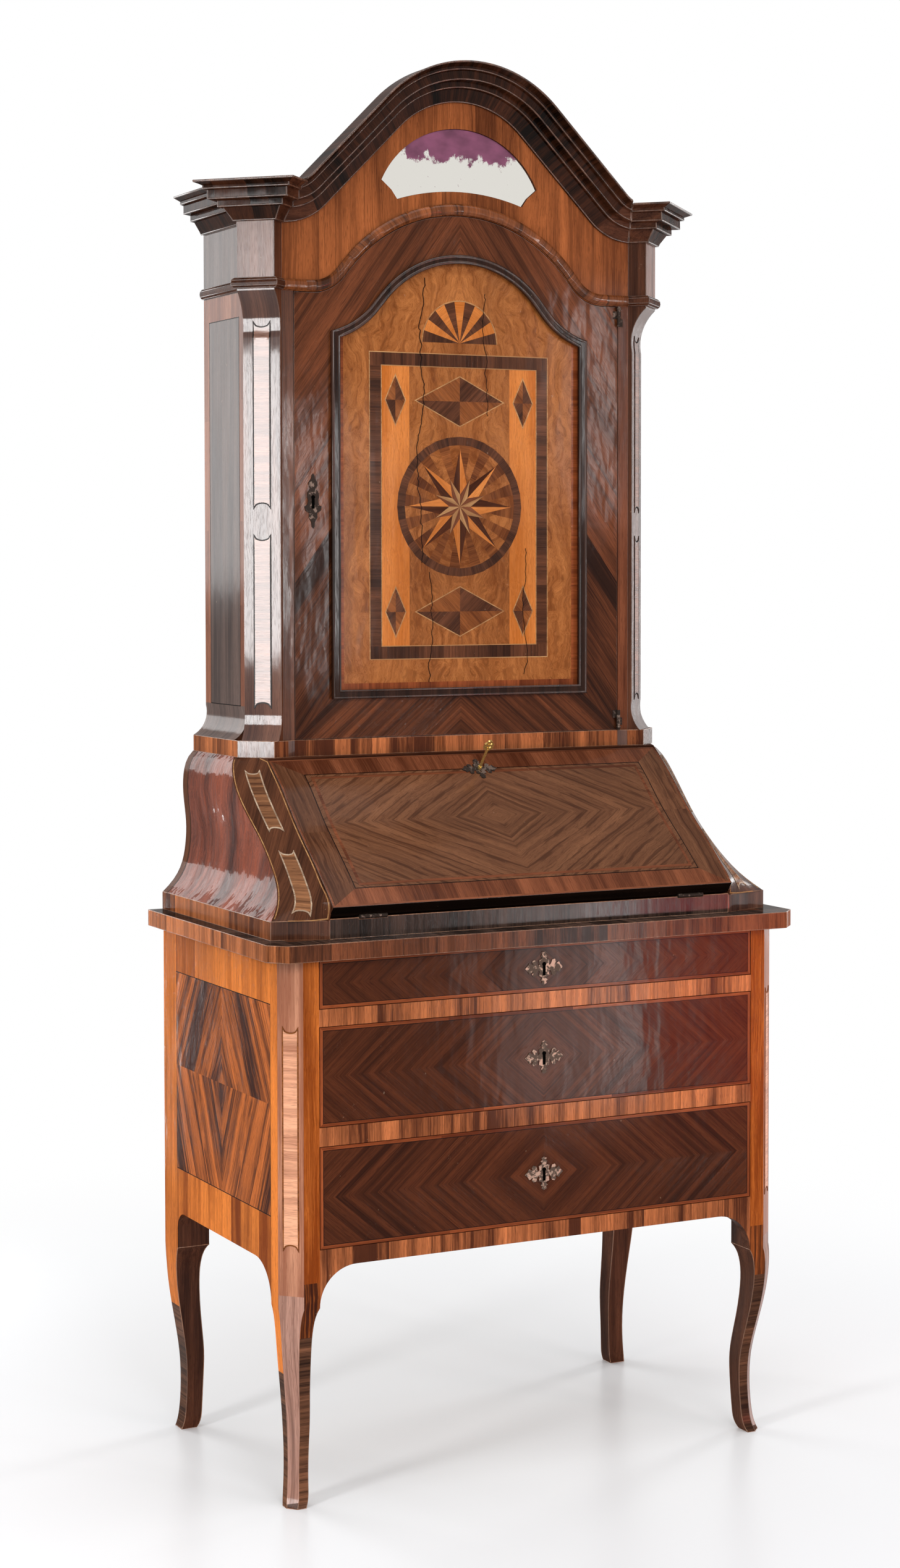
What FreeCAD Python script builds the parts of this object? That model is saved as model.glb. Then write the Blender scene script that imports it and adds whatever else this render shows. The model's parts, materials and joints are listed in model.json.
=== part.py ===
import FreeCAD, Part
import math
import os
import re

from FreeCAD import Vector

# A bureau cabinet in veneered walnut: a chest of three drawers on cabriole legs,
# a slant-front desk with a hinged fall, and an upper cabinet with one arched door,
# canted pilasters and an ogee cornice that breaks forward over the pilasters.
# X is to the right, Y to the back, Z up. The origin is on the floor, under the
# middle of the slab, which is the widest and deepest board.

doc = FreeCAD.newDocument("bureau_cabinet")

# Driving sizes, in millimetres. Names that end in share are plain ratios.
SIZES = {
    # Lower case and its slab
    "slab_lap": 27.4, "slab_depth": 529, "slab_thick": 26.6, "slab_overhang": 19,
    "slab_corner": 26, "slab_round": 5,
    "case_width": 907.2, "case_corner": 30.3, "post_size": 57,
    "case_side_thick": 18, "case_back_thick": 12,
    "leg_clear": 383, "apron_height": 27.5, "apron_thick": 22, "apron_curve": 63,
    "side_back_curve": 30,
    "rail_depth": 60, "lower_rail": 29.6, "upper_rail": 27.1,
    "bottom_drawer": 161.1, "middle_drawer": 157, "top_drawer": 77.5,
    # Cabriole legs
    "knee_height": 320, "ankle_height": 95, "ankle_size": 30, "ankle_corner": 14,
    "ankle_inset_side": 23.5, "ankle_inset_front": 36.5, "ankle_inset_back": 7.5,
    "foot_size": 28, "foot_corner": 13, "foot_inset_side": 15.5,
    "foot_inset_front": 24, "foot_inset_back": 2,
    # Drawers and what they run on
    "drawer_gap": 1.2, "slide_gap": 0.3, "drawer_clear": 58, "front_thick": 22,
    "box_thick": 11, "box_drop": 12, "bottom_thick": 6, "bottom_raise": 8,
    "runner_thick": 16, "runner_bearing": 24, "guide_height": 22,
    # Drawer locks: pierced plates outside, lock cases inside
    "plate_width": 70, "plate_height": 54, "plate_thick": 1.6, "keyhole_radius": 2.6,
    "keyhole_height": 9, "lock_width": 62, "lock_height": 40, "lock_thick": 9,
    # Desk part
    "desk_height": 267.1, "plinth_height": 29.6, "plinth_lap": 1.4, "plinth_facet": 34,
    "plinth_step": 22, "ledge_height": 31.6, "ledge_setback": 24, "ledge_depth": 30,
    "bed_thick": 18, "desk_top_thick": 18.5, "waist_setback": 42.1,
    "cheek_strip": 72, "cheek_thick": 44.5, "fall_side_gap": 1, "fall_thick": 21.5, "fall_swell": 4.5,
    "fall_gap": 2.5, "fall_top_inset": 8, "hinge_rise": 1.5, "hinge_radius": 3.5,
    "hinge_room": 0.6, "hinge_inset": 75, "hinge_width": 48, "hinge_leaf": 18,
    "leaf_thick": 1.2, "knuckle_gap": 0.2,
    "pigeonhole_setback": 34, "pigeonhole_board": 8, "pigeonhole_shelf_height": 118,
    # Fall lock and key
    "key_place": 4, "key_set_back": 42, "key_shank": 2.3, "key_reach": 46,
    "key_collar": 3.4, "key_collar_length": 5, "bow_radius": 9, "bow_wire": 1.7,
    "fall_plate_width": 66, "fall_plate_height": 46, "fall_lock_width": 56,
    "fall_lock_plate": 1.5, "fall_lock_depth": 11, "key_room": 0.5,
    "bolt_width": 20, "bolt_thick": 5, "bolt_length": 26, "bolt_throw": 8,
    "bolt_gap": 0.5,
    # Upper cabinet
    "cabinet_setback": 288, "cabinet_width": 748, "cabinet_side_thick": 18,
    "cabinet_back_thick": 12, "base_height": 27.1, "base_lap": 23,
    "base_cove": 15, "base_cove_depth": 8, "base_block_back": 10,
    "stile_width": 20, "opening_height": 735.9, "arch_flat": 33, "arch_rise": 139,
    "arch_crown_share": 0.773, "arch_foot_share": 0.222,
    "face_thick": 22, "roof_rise": 50, "roof_thick": 18,
    "shelf_thick": 16, "shelf_setback": 8, "cleat_size": 14, "shelf_low": 240,
    "shelf_high": 480,
    "pilaster_face": 65, "pilaster_scoop": 24.7, "scoop_low_height": 51,
    "scoop_top_height": 75, "side_cove_height": 51,
    "frieze_height": 17, "frieze_reach": 8,
    # Pediment and cornice
    "cornice_rise": 110.5, "cornice_height": 61, "cornice_reach": 54,
    "pediment_rise": 217, "pediment_crown_share": 0.45, "pediment_foot_share": 0.303,
    "tympanum_lap": 45, "mirror_half": 147, "mirror_low": 80, "mirror_apex": 173,
    "mirror_waist": 118, "mirror_notch": 129, "mirror_drop": 30.5, "mirror_bow": 18.5,
    "mirror_sink": 6, "mirror_thick": 3, "mirror_gap": 0.4,
    # Door
    "door_gap": 1.3, "door_thick": 22, "door_frame_width": 76, "panel_thick": 12,
    "panel_sink": 3, "bead_edge": 66, "bead_width": 13, "bead_reach": 8,
    "door_plate_width": 31, "door_plate_height": 90, "door_plate_place": 33,
    "door_plate_level": 392, "pivot_radius": 3.2, "pivot_length": 13, "pivot_ball": 4.4,
    "pivot_leaf": 9,
    # One overrun for every cut, and one small arris for moulded edges
    "overrun": 5, "arris": 1.5,
}

sheet = doc.addObject("Spreadsheet::Sheet", "Sizes")
for row, (alias, value) in enumerate(SIZES.items(), start=1):
    sheet.set(f"A{row}", alias)
    sheet.set(f"B{row}", str(value))
    sheet.setAlias(f"B{row}", alias)
doc.recompute()


class Named:
    """Reads the sheet's cells by their names."""

    def __getattr__(self, alias):
        return float(sheet.get(alias))


n = Named()
PARTS = []


def bound(text):
    """The same sum, with each name read from the sheet."""
    return re.sub(r"[a-z][a-z_]+", lambda word: "Sizes." + word.group(0), text)


def keep(obj, name):
    obj.Label = name
    PARTS.append(obj)
    return obj


def board(name, length, depth, height, corner, wanted=True):
    """A plain board; its three sizes are sums of the sheet's names."""
    box = doc.addObject("Part::Box", name)
    for side, text in (("Length", length), ("Width", depth), ("Height", height)):
        box.setExpression(side, bound(text))
    box.Placement.Base = Vector(*corner)
    return keep(box, name) if wanted else box


def feature(name, shape):
    """A piece whose form neither a board nor a padded outline can give."""
    obj = doc.addObject("Part::Feature", name)
    obj.Shape = shape
    return keep(obj, name)


PLANE_ROLES = {"front": "XZ_Plane", "plan": "XY_Plane", "side": "YZ_Plane"}


def padded(name, view, curves, thick, start, wanted=True):
    """A board sawn to an outline: a sketch on one plane of its body, and a pad.

    In the front view the pad runs to the back from start, in plan it runs up,
    and in the side view it runs to the right.
    """
    body = doc.addObject("PartDesign::Body", name)
    role = PLANE_ROLES[view]
    plane = [item for item in body.Origin.OriginFeatures if item.Role == role][0]
    sketch = body.newObject("Sketcher::SketchObject", name + "_outline")
    sketch.AttachmentSupport = [(plane, "")]
    sketch.MapMode = "FlatFace"
    sketch.addGeometry(curves, False)
    pad = body.newObject("PartDesign::Pad", name + "_pad")
    pad.Profile = sketch
    pad.setExpression("Length", bound(thick))
    pad.Reversed = view == "front"
    offset = {"front": Vector(0, start, 0), "plan": Vector(0, 0, start),
              "side": Vector(start, 0, 0)}[view]
    body.Placement.Base = offset
    return keep(body, name) if wanted else body


def lines(points, closed=True):
    """Straight curves through flat points."""
    ends = points[1:] + points[:1] if closed else points[1:]
    return [Part.LineSegment(Vector(*a, 0), Vector(*b, 0)) for a, b in zip(points, ends)]


def arc(first, middle, last):
    return Part.Arc(Vector(*first, 0), Vector(*middle, 0), Vector(*last, 0))


def wire(curves):
    return Part.Wire([curve.toShape() for curve in curves])


def prism(points, low, high):
    """A solid between two levels over a plan of straight sides."""
    ring = [Vector(x, y, low) for x, y in points]
    return Part.Face(Part.makePolygon(ring + ring[:1])).extrude(Vector(0, 0, high - low))


def block(low, high):
    """A box from its lowest corner to its highest."""
    return Part.makeBox(*(b - a for a, b in zip(low, high)), Vector(*low))


def mirrored(shape):
    return shape.mirror(Vector(0, 0, 0), Vector(1, 0, 0))


def pair(name, shape):
    """The left and right pieces, from the right one."""
    feature(name + "_right", shape)
    feature(name + "_left", mirrored(shape))


def group(name, shapes):
    """Pieces of one kind that share a node and stay separate solids."""
    return feature(name, Part.Compound(shapes))


def mix(a, b, share):
    return a + (b - a) * share


# Levels and planes that the pieces share
back = n.slab_depth / 2
front = n.slab_overhang - back
case_half = n.case_width / 2
opening_half = case_half - n.post_size
case_inner = case_half - n.case_side_thick
bottom_level = n.leg_clear + n.apron_height
lower_rail_level = bottom_level + n.bottom_drawer
middle_level = lower_rail_level + n.lower_rail
upper_rail_level = middle_level + n.middle_drawer
top_level = upper_rail_level + n.upper_rail
case_top = top_level + n.top_drawer
slab_top = case_top + n.slab_thick
back_post = back - n.post_size
front_post = front + n.post_size


# Legs: square posts with a canted outer corner, shaped below the knee.
# Each station gives the height between ankle and knee, how far the leg has swung
# in towards the ankle, and how much of the post's size is left over the ankle's.
SHIN_SHARES = ((1.0, 0.0, 1.0), (0.89, 0.05, 0.6), (0.69, 0.2, 0.38),
               (0.4, 0.6, 0.19), (0.13, 0.94, 0.07), (0.0, 1.0, 0.0))
FOOT_HEIGHT_SHARE, FOOT_SWING_SHARE = 0.35, 0.25


def leg_plan(inset_side, inset_end, size, corner, level):
    """One section of a right leg, with its outer corner at the case's corner."""
    x, y = case_half - inset_side, inset_end
    plan = [(x - size, y), (x - corner, y), (x, y + corner), (x, y + size), (x - size, y + size)]
    if corner == 0:
        plan = [(x - size, y), (x, y), (x, y + size), (x - size, y + size)]
    ring = [Vector(a, b, level) for a, b in plan]
    return Part.makePolygon(ring + ring[:1])


def leg(corner, ankle_corner, foot_corner, ankle_inset, foot_inset):
    """A whole right leg, its end face at y = 0 and its body behind it."""
    stations = []
    for height, swing, rest in SHIN_SHARES:
        stations.append(leg_plan(n.ankle_inset_side * swing, ankle_inset * swing,
                                 mix(n.ankle_size, n.post_size, rest),
                                 mix(ankle_corner, corner, rest),
                                 mix(n.ankle_height, n.knee_height, height)))
    for share, height in ((FOOT_SWING_SHARE, n.ankle_height * FOOT_HEIGHT_SHARE), (1, 0)):
        stations.append(leg_plan(mix(n.ankle_inset_side, n.foot_inset_side, share),
                                 mix(ankle_inset, foot_inset, share),
                                 mix(n.ankle_size, n.foot_size, share),
                                 mix(ankle_corner, foot_corner, share), height))
    shin = Part.makeLoft(stations, True, False)
    post = Part.Face(leg_plan(0, 0, n.post_size, corner, n.knee_height))
    return shin.fuse(post.extrude(Vector(0, 0, case_top - n.knee_height))).removeSplitter()


front_leg = leg(n.case_corner, n.ankle_corner, n.foot_corner,
                n.ankle_inset_front, n.foot_inset_front)
front_leg.translate(Vector(0, front, 0))
pair("leg_front", front_leg)
back_leg = leg(0, 0, 0, n.ankle_inset_back, n.foot_inset_back)
back_leg = back_leg.mirror(Vector(0, 0, 0), Vector(0, 1, 0))
back_leg.translate(Vector(0, back, 0))
pair("leg_back", back_leg)


# Case sides, back, apron and rails
def eared(low_end, high_end, low_curve, high_curve, bottom, top):
    """A board whose lower edge runs down into the leg at each end by an arc."""
    diagonal = 1 - math.sqrt(2) / 2
    a, b = low_curve * diagonal, high_curve * diagonal
    return lines([(low_end, bottom - low_curve), (low_end, top), (high_end, top),
                  (high_end, bottom - high_curve)], closed=False) + [
        arc((high_end, bottom - high_curve), (high_end - b, bottom - b),
            (high_end - high_curve, bottom)),
        Part.LineSegment(Vector(high_end - high_curve, bottom, 0),
                         Vector(low_end + low_curve, bottom, 0)),
        arc((low_end + low_curve, bottom), (low_end + a, bottom - a),
            (low_end, bottom - low_curve))]


side_outline = eared(front_post, back_post, n.apron_curve, n.side_back_curve,
                     n.leg_clear, case_top)
padded("case_side_right", "side", side_outline, "case_side_thick", case_inner)
padded("case_side_left", "side", side_outline, "case_side_thick", -case_half)
padded("front_apron", "front", eared(-opening_half, opening_half, n.apron_curve,
                                     n.apron_curve, n.leg_clear, bottom_level),
       "apron_thick", front)
OPENING = "case_width - 2 * post_size"
board("case_back", OPENING, "case_back_thick",
      "apron_height + bottom_drawer + lower_rail + middle_drawer + upper_rail + top_drawer",
      (-opening_half, back - n.case_back_thick, n.leg_clear))
board("drawer_rail_lower", OPENING, "rail_depth", "lower_rail",
      (-opening_half, front, lower_rail_level))
board("drawer_rail_upper", OPENING, "rail_depth", "upper_rail",
      (-opening_half, front, upper_rail_level))


# Runners: under each drawer side a bearing, and outside it a guide
def runner(level, start):
    inner = opening_half - n.runner_bearing
    bearing = block((inner, start, level - n.runner_thick), (case_inner, back_post, level))
    guide = block((opening_half, start, level), (case_inner, back_post, level + n.guide_height))
    post = block((opening_half, front, level - n.runner_thick),
                 (case_inner, front_post, level + n.guide_height))
    return [bearing.cut(post), guide.cut(post)]


runners = []
for level, start in ((bottom_level, front + n.apron_thick),
                     (middle_level, front + n.rail_depth),
                     (top_level, front + n.rail_depth)):
    strips = runner(level, start)
    runners += strips + [mirrored(strip) for strip in strips]
group("drawer_runners", runners)

# The slab that carries the desk, with canted front corners eased by hand
slab_half = case_half + n.slab_lap
slab_body = padded("slab", "plan",
                   lines([(-slab_half, back), (slab_half, back),
                          (slab_half, -back + n.slab_corner),
                          (slab_half - n.slab_corner, -back),
                          (n.slab_corner - slab_half, -back),
                          (-slab_half, n.slab_corner - back)]),
                   "slab_thick", case_top)
doc.recompute()
pad = slab_body.Tip
upright = [f"Edge{i}" for i, edge in enumerate(pad.Shape.Edges, start=1)
           if abs(edge.Vertexes[0].Z - edge.Vertexes[-1].Z) > n.slab_thick / 2
           and edge.CenterOfMass.y < 0]
rounding = slab_body.newObject("PartDesign::Fillet", "slab_corner_round")
rounding.Base = (pad, upright)
rounding.setExpression("Radius", bound("slab_round"))


# Drawers
DOOR_PLATE_SHARES = ((0, 1), (0.16, 0.94), (0.2, 0.82), (0.5, 0.68), (0.52, 0.56), (0.3, 0.46),
                     (0.62, 0.3), (0.68, 0.14), (0.56, 0), (0.7, -0.16), (1, -0.2),
                     (0.86, -0.36), (0.46, -0.44), (0.5, -0.6), (0.2, -0.78), (0.16, -0.94),
                     (0, -1))
PLATE_SHARES = ((1, 0), (0.84, 0.18), (0.78, 0.33), (0.66, 0.24), (0.56, 0.2), (0.64, 0.36),
                (0.56, 0.5), (0.42, 0.46), (0.37, 0.26), (0.3, 0.14), (0.24, 0.2), (0.27, 0.46),
                (0.14, 0.52), (0.1, 0.6), (0.18, 0.72), (0.09, 0.8), (0.13, 0.92), (0, 1))


def pierced_plate(width, height, thick, half_shares=None):
    """A rococo plate sawn to its outline, in the X-Z plane, its back at y = 0."""
    if half_shares is None:
        half_shares = PLATE_SHARES[::-1] + tuple((x, -z) for x, z in PLATE_SHARES[1:])
    points = list(half_shares) + [(-x, z) for x, z in half_shares[-2:0:-1]]
    ring = [Vector(x * width / 2, 0, z * height / 2) for x, z in points]
    plate = Part.Face(Part.makePolygon(ring + ring[:1])).extrude(Vector(0, -thick, 0))
    return plate.cut(keyhole(thick))


BAR_FLATS = 16


def round_bar(radius, length, place, axis):
    """A small round bar drawn with sixteen flats, which keeps the hinges light."""
    turns = [2 * math.pi * i / BAR_FLATS for i in range(BAR_FLATS)]
    ring = [Vector(radius * math.cos(t), radius * math.sin(t), 0) for t in turns]
    bar = Part.Face(Part.makePolygon(ring + ring[:1])).extrude(Vector(0, 0, length))
    bar.rotate(Vector(0, 0, 0), Vector(0, 1, 0), 90 if axis == "X" else 0)
    bar.translate(place)
    return bar


def keyhole(depth):
    """A round hole with a slot under it, bored to the front from y = 0."""
    reach = depth + n.overrun
    hole = Part.makeCylinder(n.keyhole_radius, 2 * reach, Vector(0, -reach, 0), Vector(0, 1, 0))
    slot = block((-n.keyhole_radius / 2, -reach, -n.keyhole_height),
                 (n.keyhole_radius / 2, reach, 0))
    return hole.fuse(slot)


def drawer(name, level, height, height_name):
    half = opening_half - n.drawer_gap
    low, tall = level + n.drawer_gap, height - 2 * n.drawer_gap
    middle = level + height / 2
    face = board(name + "_blank", OPENING + " - 2 * drawer_gap", "front_thick",
                 height_name + " - 2 * drawer_gap", (-half, front, low), wanted=False)
    doc.recompute()
    hole = keyhole(n.front_thick)
    hole.translate(Vector(0, front, middle))
    feature(name + "_front", face.Shape.cut(hole))
    rear = back - n.case_back_thick - n.drawer_clear
    foot = level + n.slide_gap
    head = level + height - n.box_drop
    right = block((half - n.box_thick, front + n.front_thick, foot), (half, rear, head))
    tail = block((n.box_thick - half, rear - n.box_thick, foot), (half - n.box_thick, rear, head))
    group(name + "_sides", [right, mirrored(right), tail])
    board(name + "_bottom", OPENING + " - 2 * drawer_gap - 2 * box_thick",
          "slab_depth - slab_overhang - case_back_thick - drawer_clear - front_thick - box_thick",
          "bottom_thick",
          (n.box_thick - half, front + n.front_thick, foot + n.bottom_raise))
    plate = pierced_plate(n.plate_width, n.plate_height, n.plate_thick)
    plate.translate(Vector(0, front, middle))
    inside = front + n.front_thick
    tall_lock = min(n.lock_height, tall - 2 * n.bottom_raise - 2 * n.bottom_thick)
    case = block((-n.lock_width / 2, inside, middle - tall_lock / 2),
                 (n.lock_width / 2, inside + n.lock_thick, middle + tall_lock / 2))
    group(name + "_lock", [plate, case])


drawer("bottom_drawer", bottom_level, n.bottom_drawer, "bottom_drawer")
drawer("middle_drawer", middle_level, n.middle_drawer, "middle_drawer")
drawer("top_drawer", top_level, n.top_drawer, "top_drawer")


# Desk part: the fall's hinge line, its slope, and the frame (s, d) along and off it
desk_level = slab_top + n.desk_height
desk_top_level = desk_level - n.desk_top_thick
plinth_top = slab_top + n.plinth_height
ledge_top = slab_top + n.ledge_height
hinge_y, hinge_z = front + n.ledge_setback, ledge_top + n.hinge_rise
cabinet_front = front + n.cabinet_setback
run = cabinet_front - n.fall_top_inset - hinge_y
rise = desk_top_level - hinge_z
slope = math.atan2(rise, run)
fall_reach = math.hypot(run, rise)
fall_end = fall_reach - n.fall_gap
waist_half = case_half - n.waist_setback
desk_inner = waist_half - n.cheek_thick
hinge_place = desk_inner - n.hinge_inset
DESK_INSIDE = "case_width - 2 * waist_setback - 2 * cheek_thick"
SWELL_SHARES = ((0.0, 0.0), (0.17, 0.55), (0.4, 0.2), (0.56, 0.0), (0.7, 0.6),
                (0.84, 1.0), (0.92, 0.7), (1.0, 0.1))


def on_slope(along, off):
    """The point at a distance along the fall's inner face and off it."""
    return (hinge_y + along * math.cos(slope) - off * math.sin(slope),
            hinge_z + along * math.sin(slope) + off * math.cos(slope))


def slope_box(half_or_span, along, off):
    """A box laid on the slope, from one x to another, by its spans along and off."""
    low, high = half_or_span
    ring = [Vector(low, *on_slope(a, d)) for a, d in
            ((along[0], off[0]), (along[1], off[0]), (along[1], off[1]), (along[0], off[1]))]
    return Part.Face(Part.makePolygon(ring + ring[:1])).extrude(Vector(high - low, 0, 0))


def fall_face(share):
    return n.fall_thick + n.fall_swell * share


top_front = on_slope(fall_reach, n.desk_top_thick / math.cos(slope))[0]

# Cheeks: bombe sides whose front edge follows the fall; stations by level between
# plinth and top: side bulge, front edge, and depth of the canted strip.
CHEEK_SHARES = ((0.0, 0.98, 0.0, 0.38), (0.04, 0.75, -0.015, 0.58),
                (0.105, 0.45, -0.02, 0.86), (0.194, 0.2, 0.07, 0.92),
                (0.32, 0.045, 0.21, 0.99), (0.484, 0.0, 0.413, 1.0),
                (0.657, 0.09, 0.61, 1.04), (0.813, 0.11, 0.775, 1.03),
                (0.93, -0.03, 0.915, 0.92), (1.0, -0.31, 1.0, 0.92))
plinth_half = case_half + n.plinth_lap


def faired(points, steps):
    """Points evenly along a smooth curve through a few chosen ones."""
    curve = Part.BSplineCurve()
    curve.interpolate(points)
    first, last = curve.FirstParameter, curve.LastParameter
    return [curve.value(mix(first, last, i / steps)) for i in range(steps + 1)]


def arc_chain(points, steps):
    """The same curve as a chain of arcs, two steps to an arc."""
    fine = faired(points, 2 * steps)
    return [Part.Arc(*fine[i:i + 3]).toShape() for i in range(0, 2 * steps, 2)]


CHEEK_STEPS = 24


def cheek_sections():
    """Level sections of a right cheek, from plinth to top."""
    edge_line, side_line = [], []
    for height, bulge, edge, strip in CHEEK_SHARES:
        level = mix(plinth_top, desk_level, height)
        x = mix(waist_half, plinth_half, bulge)
        y = mix(hinge_y, top_front, edge)
        edge_line.append(Vector(level, y, 0))
        side_line.append(Vector(x, y + n.cheek_strip * strip, level))
    curve = Part.BSplineCurve()
    curve.interpolate(side_line)
    front_curve = Part.BSplineCurve()
    front_curve.interpolate([Vector(desk_inner, p.y, p.x) for p in edge_line])
    sections = []
    for i in range(CHEEK_STEPS + 1):
        level = mix(plinth_top, desk_level, i / CHEEK_STEPS)
        cut = Part.Plane(Vector(0, 0, level), Vector(0, 0, 1))
        spots = []
        for line in (front_curve, curve):
            hit = line.intersect(cut)[0]
            spots.append(Vector(hit[0].X, hit[0].Y, level))
        ring = spots + [Vector(spots[1].x, back, level), Vector(desk_inner, back, level)]
        sections.append(Part.makePolygon(ring + ring[:1]))
    return sections


cheek = Part.makeLoft(cheek_sections(), True, True)
foot_y = hinge_y + n.cheek_strip * CHEEK_SHARES[0][3]
plinth = prism([(desk_inner, hinge_y), (desk_inner + n.overrun, hinge_y),
                (plinth_half - n.plinth_facet, hinge_y + n.plinth_step),
                (plinth_half, foot_y), (plinth_half, back), (desk_inner, back)],
               slab_top, plinth_top)
pair("desk_side", cheek.fuse(plinth).removeSplitter())

# The ledge carries the fall; a round notch takes each hinge's knuckles
hinge_line = Vector(-n.hinge_width / 2, hinge_y, hinge_z)


def hinge_notches(width, radius):
    return [Part.makeCylinder(radius, width, Vector(side * hinge_place - width / 2,
                                                    hinge_y, hinge_z), Vector(1, 0, 0))
            for side in (-1, 1)]


notches = Part.Compound(hinge_notches(n.hinge_width + 2 * n.hinge_room,
                                      n.hinge_radius + n.hinge_room))
ledge = board("ledge_blank", DESK_INSIDE, "ledge_depth", "ledge_height",
              (-desk_inner, hinge_y, slab_top), wanted=False)
doc.recompute()
feature("desk_ledge", ledge.Shape.cut(notches))
board("desk_bed", DESK_INSIDE,
      "slab_depth - slab_overhang - ledge_setback - ledge_depth - case_back_thick",
      "bed_thick", (-desk_inner, hinge_y + n.ledge_depth, ledge_top - n.bed_thick))
board("desk_back", DESK_INSIDE, "case_back_thick", "desk_height - desk_top_thick",
      (-desk_inner, back - n.case_back_thick, slab_top))

# The top board's front edge is cut square to the slope; the lock's bolt enters it
bolt_low = n.fall_lock_plate + n.bolt_gap
bolt_off = (bolt_low, bolt_low + n.bolt_thick)
key_x = n.key_place
mortise = slope_box((key_x - n.bolt_width / 2 - n.bolt_gap, key_x + n.bolt_width / 2 + n.bolt_gap),
                    (fall_reach - n.overrun, fall_end + n.bolt_throw + n.bolt_gap),
                    (bolt_off[0] - n.bolt_gap, bolt_off[1] + n.bolt_gap))
top_outline = [(back, desk_top_level), (hinge_y + run, desk_top_level),
               (top_front, desk_level), (back, desk_level)]
top_ring = [Vector(-desk_inner, y, z) for y, z in top_outline]
desk_top = Part.Face(Part.makePolygon(top_ring + top_ring[:1])).extrude(
    Vector(2 * desk_inner, 0, 0))
feature("desk_top", desk_top.cut(mortise))

# Pigeonholes: two ends, a shelf and thin uprights, all housed face to face
holes_front = cabinet_front + n.pigeonhole_setback
shelf_low = ledge_top + n.pigeonhole_shelf_height
thin = n.pigeonhole_board
end = block((desk_inner - thin, holes_front, ledge_top),
            (desk_inner, back - n.case_back_thick, desk_top_level))
holes = [end, mirrored(end),
         block((thin - desk_inner, holes_front, shelf_low),
               (desk_inner - thin, back - n.case_back_thick, shelf_low + thin))]
LOWER_BAYS, UPPER_BAYS = 3, 6
for bays, low, high in ((LOWER_BAYS, ledge_top, shelf_low),
                        (UPPER_BAYS, shelf_low + thin, desk_top_level)):
    for i in range(1, bays):
        x = mix(-desk_inner, desk_inner, i / bays)
        holes.append(block((x - thin / 2, holes_front, low),
                           (x + thin / 2, back - n.case_back_thick, high)))
group("pigeonholes", holes)

# The fall: flat inside, gently serpentine outside, with a sawn pocket for its lock
SWELL_ARCS = 8
swell_points = [Vector(0, *on_slope(mix(n.fall_gap, fall_end, along), fall_face(swell)))
                for along, swell in SWELL_SHARES]
inner_ends = [Vector(0, *on_slope(along, 0)) for along in (fall_end, n.fall_gap)]
fall_ring = Part.Wire(arc_chain(swell_points, SWELL_ARCS)
                      + [Part.makeLine(swell_points[-1], inner_ends[0]),
                         Part.makeLine(*inner_ends),
                         Part.makeLine(inner_ends[1], swell_points[0])])
fall_half = desk_inner - n.fall_side_gap
fall = Part.Face(fall_ring).extrude(Vector(2 * fall_half, 0, 0))
fall.translate(Vector(-fall_half, 0, 0))
lock_start = fall_end - n.bolt_length - n.key_set_back / 2
lock_span = (key_x - n.fall_lock_width / 2, key_x + n.fall_lock_width / 2)
pocket = slope_box(lock_span, (lock_start, fall_end + n.overrun), (-n.overrun, n.fall_lock_depth))
key_along = fall_end - n.key_set_back
normal = Vector(0, -math.sin(slope), math.cos(slope))


def key_cylinder(radius, low, high):
    return Part.makeCylinder(radius, high - low, Vector(key_x, *on_slope(key_along, low)), normal)


key_bore = key_cylinder(n.key_shank + n.key_room, 0, fall_face(1) + n.overrun)
feature("fall_board", fall.cut(pocket).cut(notches).cut(key_bore))

# Lock of the fall: an inner plate, and a bolt that the key throws into the top board
plate_fixed = slope_box(lock_span, (lock_start, fall_end), (0, n.fall_lock_plate))
feature("fall_lock", plate_fixed)
bolt_end = fall_end - n.bolt_gap
feature("fall_lock_bolt", slope_box((key_x - n.bolt_width / 2, key_x + n.bolt_width / 2),
                                    (bolt_end - n.bolt_length, bolt_end), bolt_off))

# The fall's pierced plate lies on the swelling face, tilted with it
face_off = fall_face(1)
plate = pierced_plate(n.fall_plate_width, n.fall_plate_height, n.plate_thick)
plate = plate.fuse(Part.makeCylinder(n.key_shank + n.key_collar, n.plate_thick,
                                     Vector(0, -n.plate_thick, 0), Vector(0, 1, 0)))
plate = plate.cut(Part.makeCylinder(n.key_shank + n.key_room, n.front_thick,
                                    Vector(0, -n.front_thick / 2, 0), Vector(0, 1, 0)))
plate.rotate(Vector(0, 0, 0), Vector(1, 0, 0), math.degrees(slope) - 90)
plate.translate(Vector(key_x, *on_slope(key_along, face_off)))
feature("fall_plate", plate.cut(fall))

# Key: shank, collar and an open bow, standing square to the fall
shank_low = n.fall_lock_depth
shank_high = face_off + n.key_reach
shank = key_cylinder(n.key_shank, shank_low, shank_high)
collar_low = face_off + n.plate_thick + n.slide_gap
collar = key_cylinder(n.key_collar, collar_low, collar_low + n.key_collar_length)
BOW_SHARES = ((0.25, -0.16), (0.7, 0.06), (1, 0.42), (0.86, 0.9), (0.95, 1.3), (0.62, 1.62),
              (0.4, 2.0), (0.18, 2.06), (0, 2.3))
EYE_SHARES = ((0.12, 0.3), (0.55, 0.5), (0.5, 0.86), (0.12, 0.78))


def bow_plate(shares, thick):
    """A flat plate in the plane of the key's shank, from half of its outline."""
    half = [(n.bow_radius * x, shank_high + n.bow_radius * z) for x, z in shares]
    return [Vector(key_x + x, *on_slope(key_along, off)) for x, off in half], thick


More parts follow.
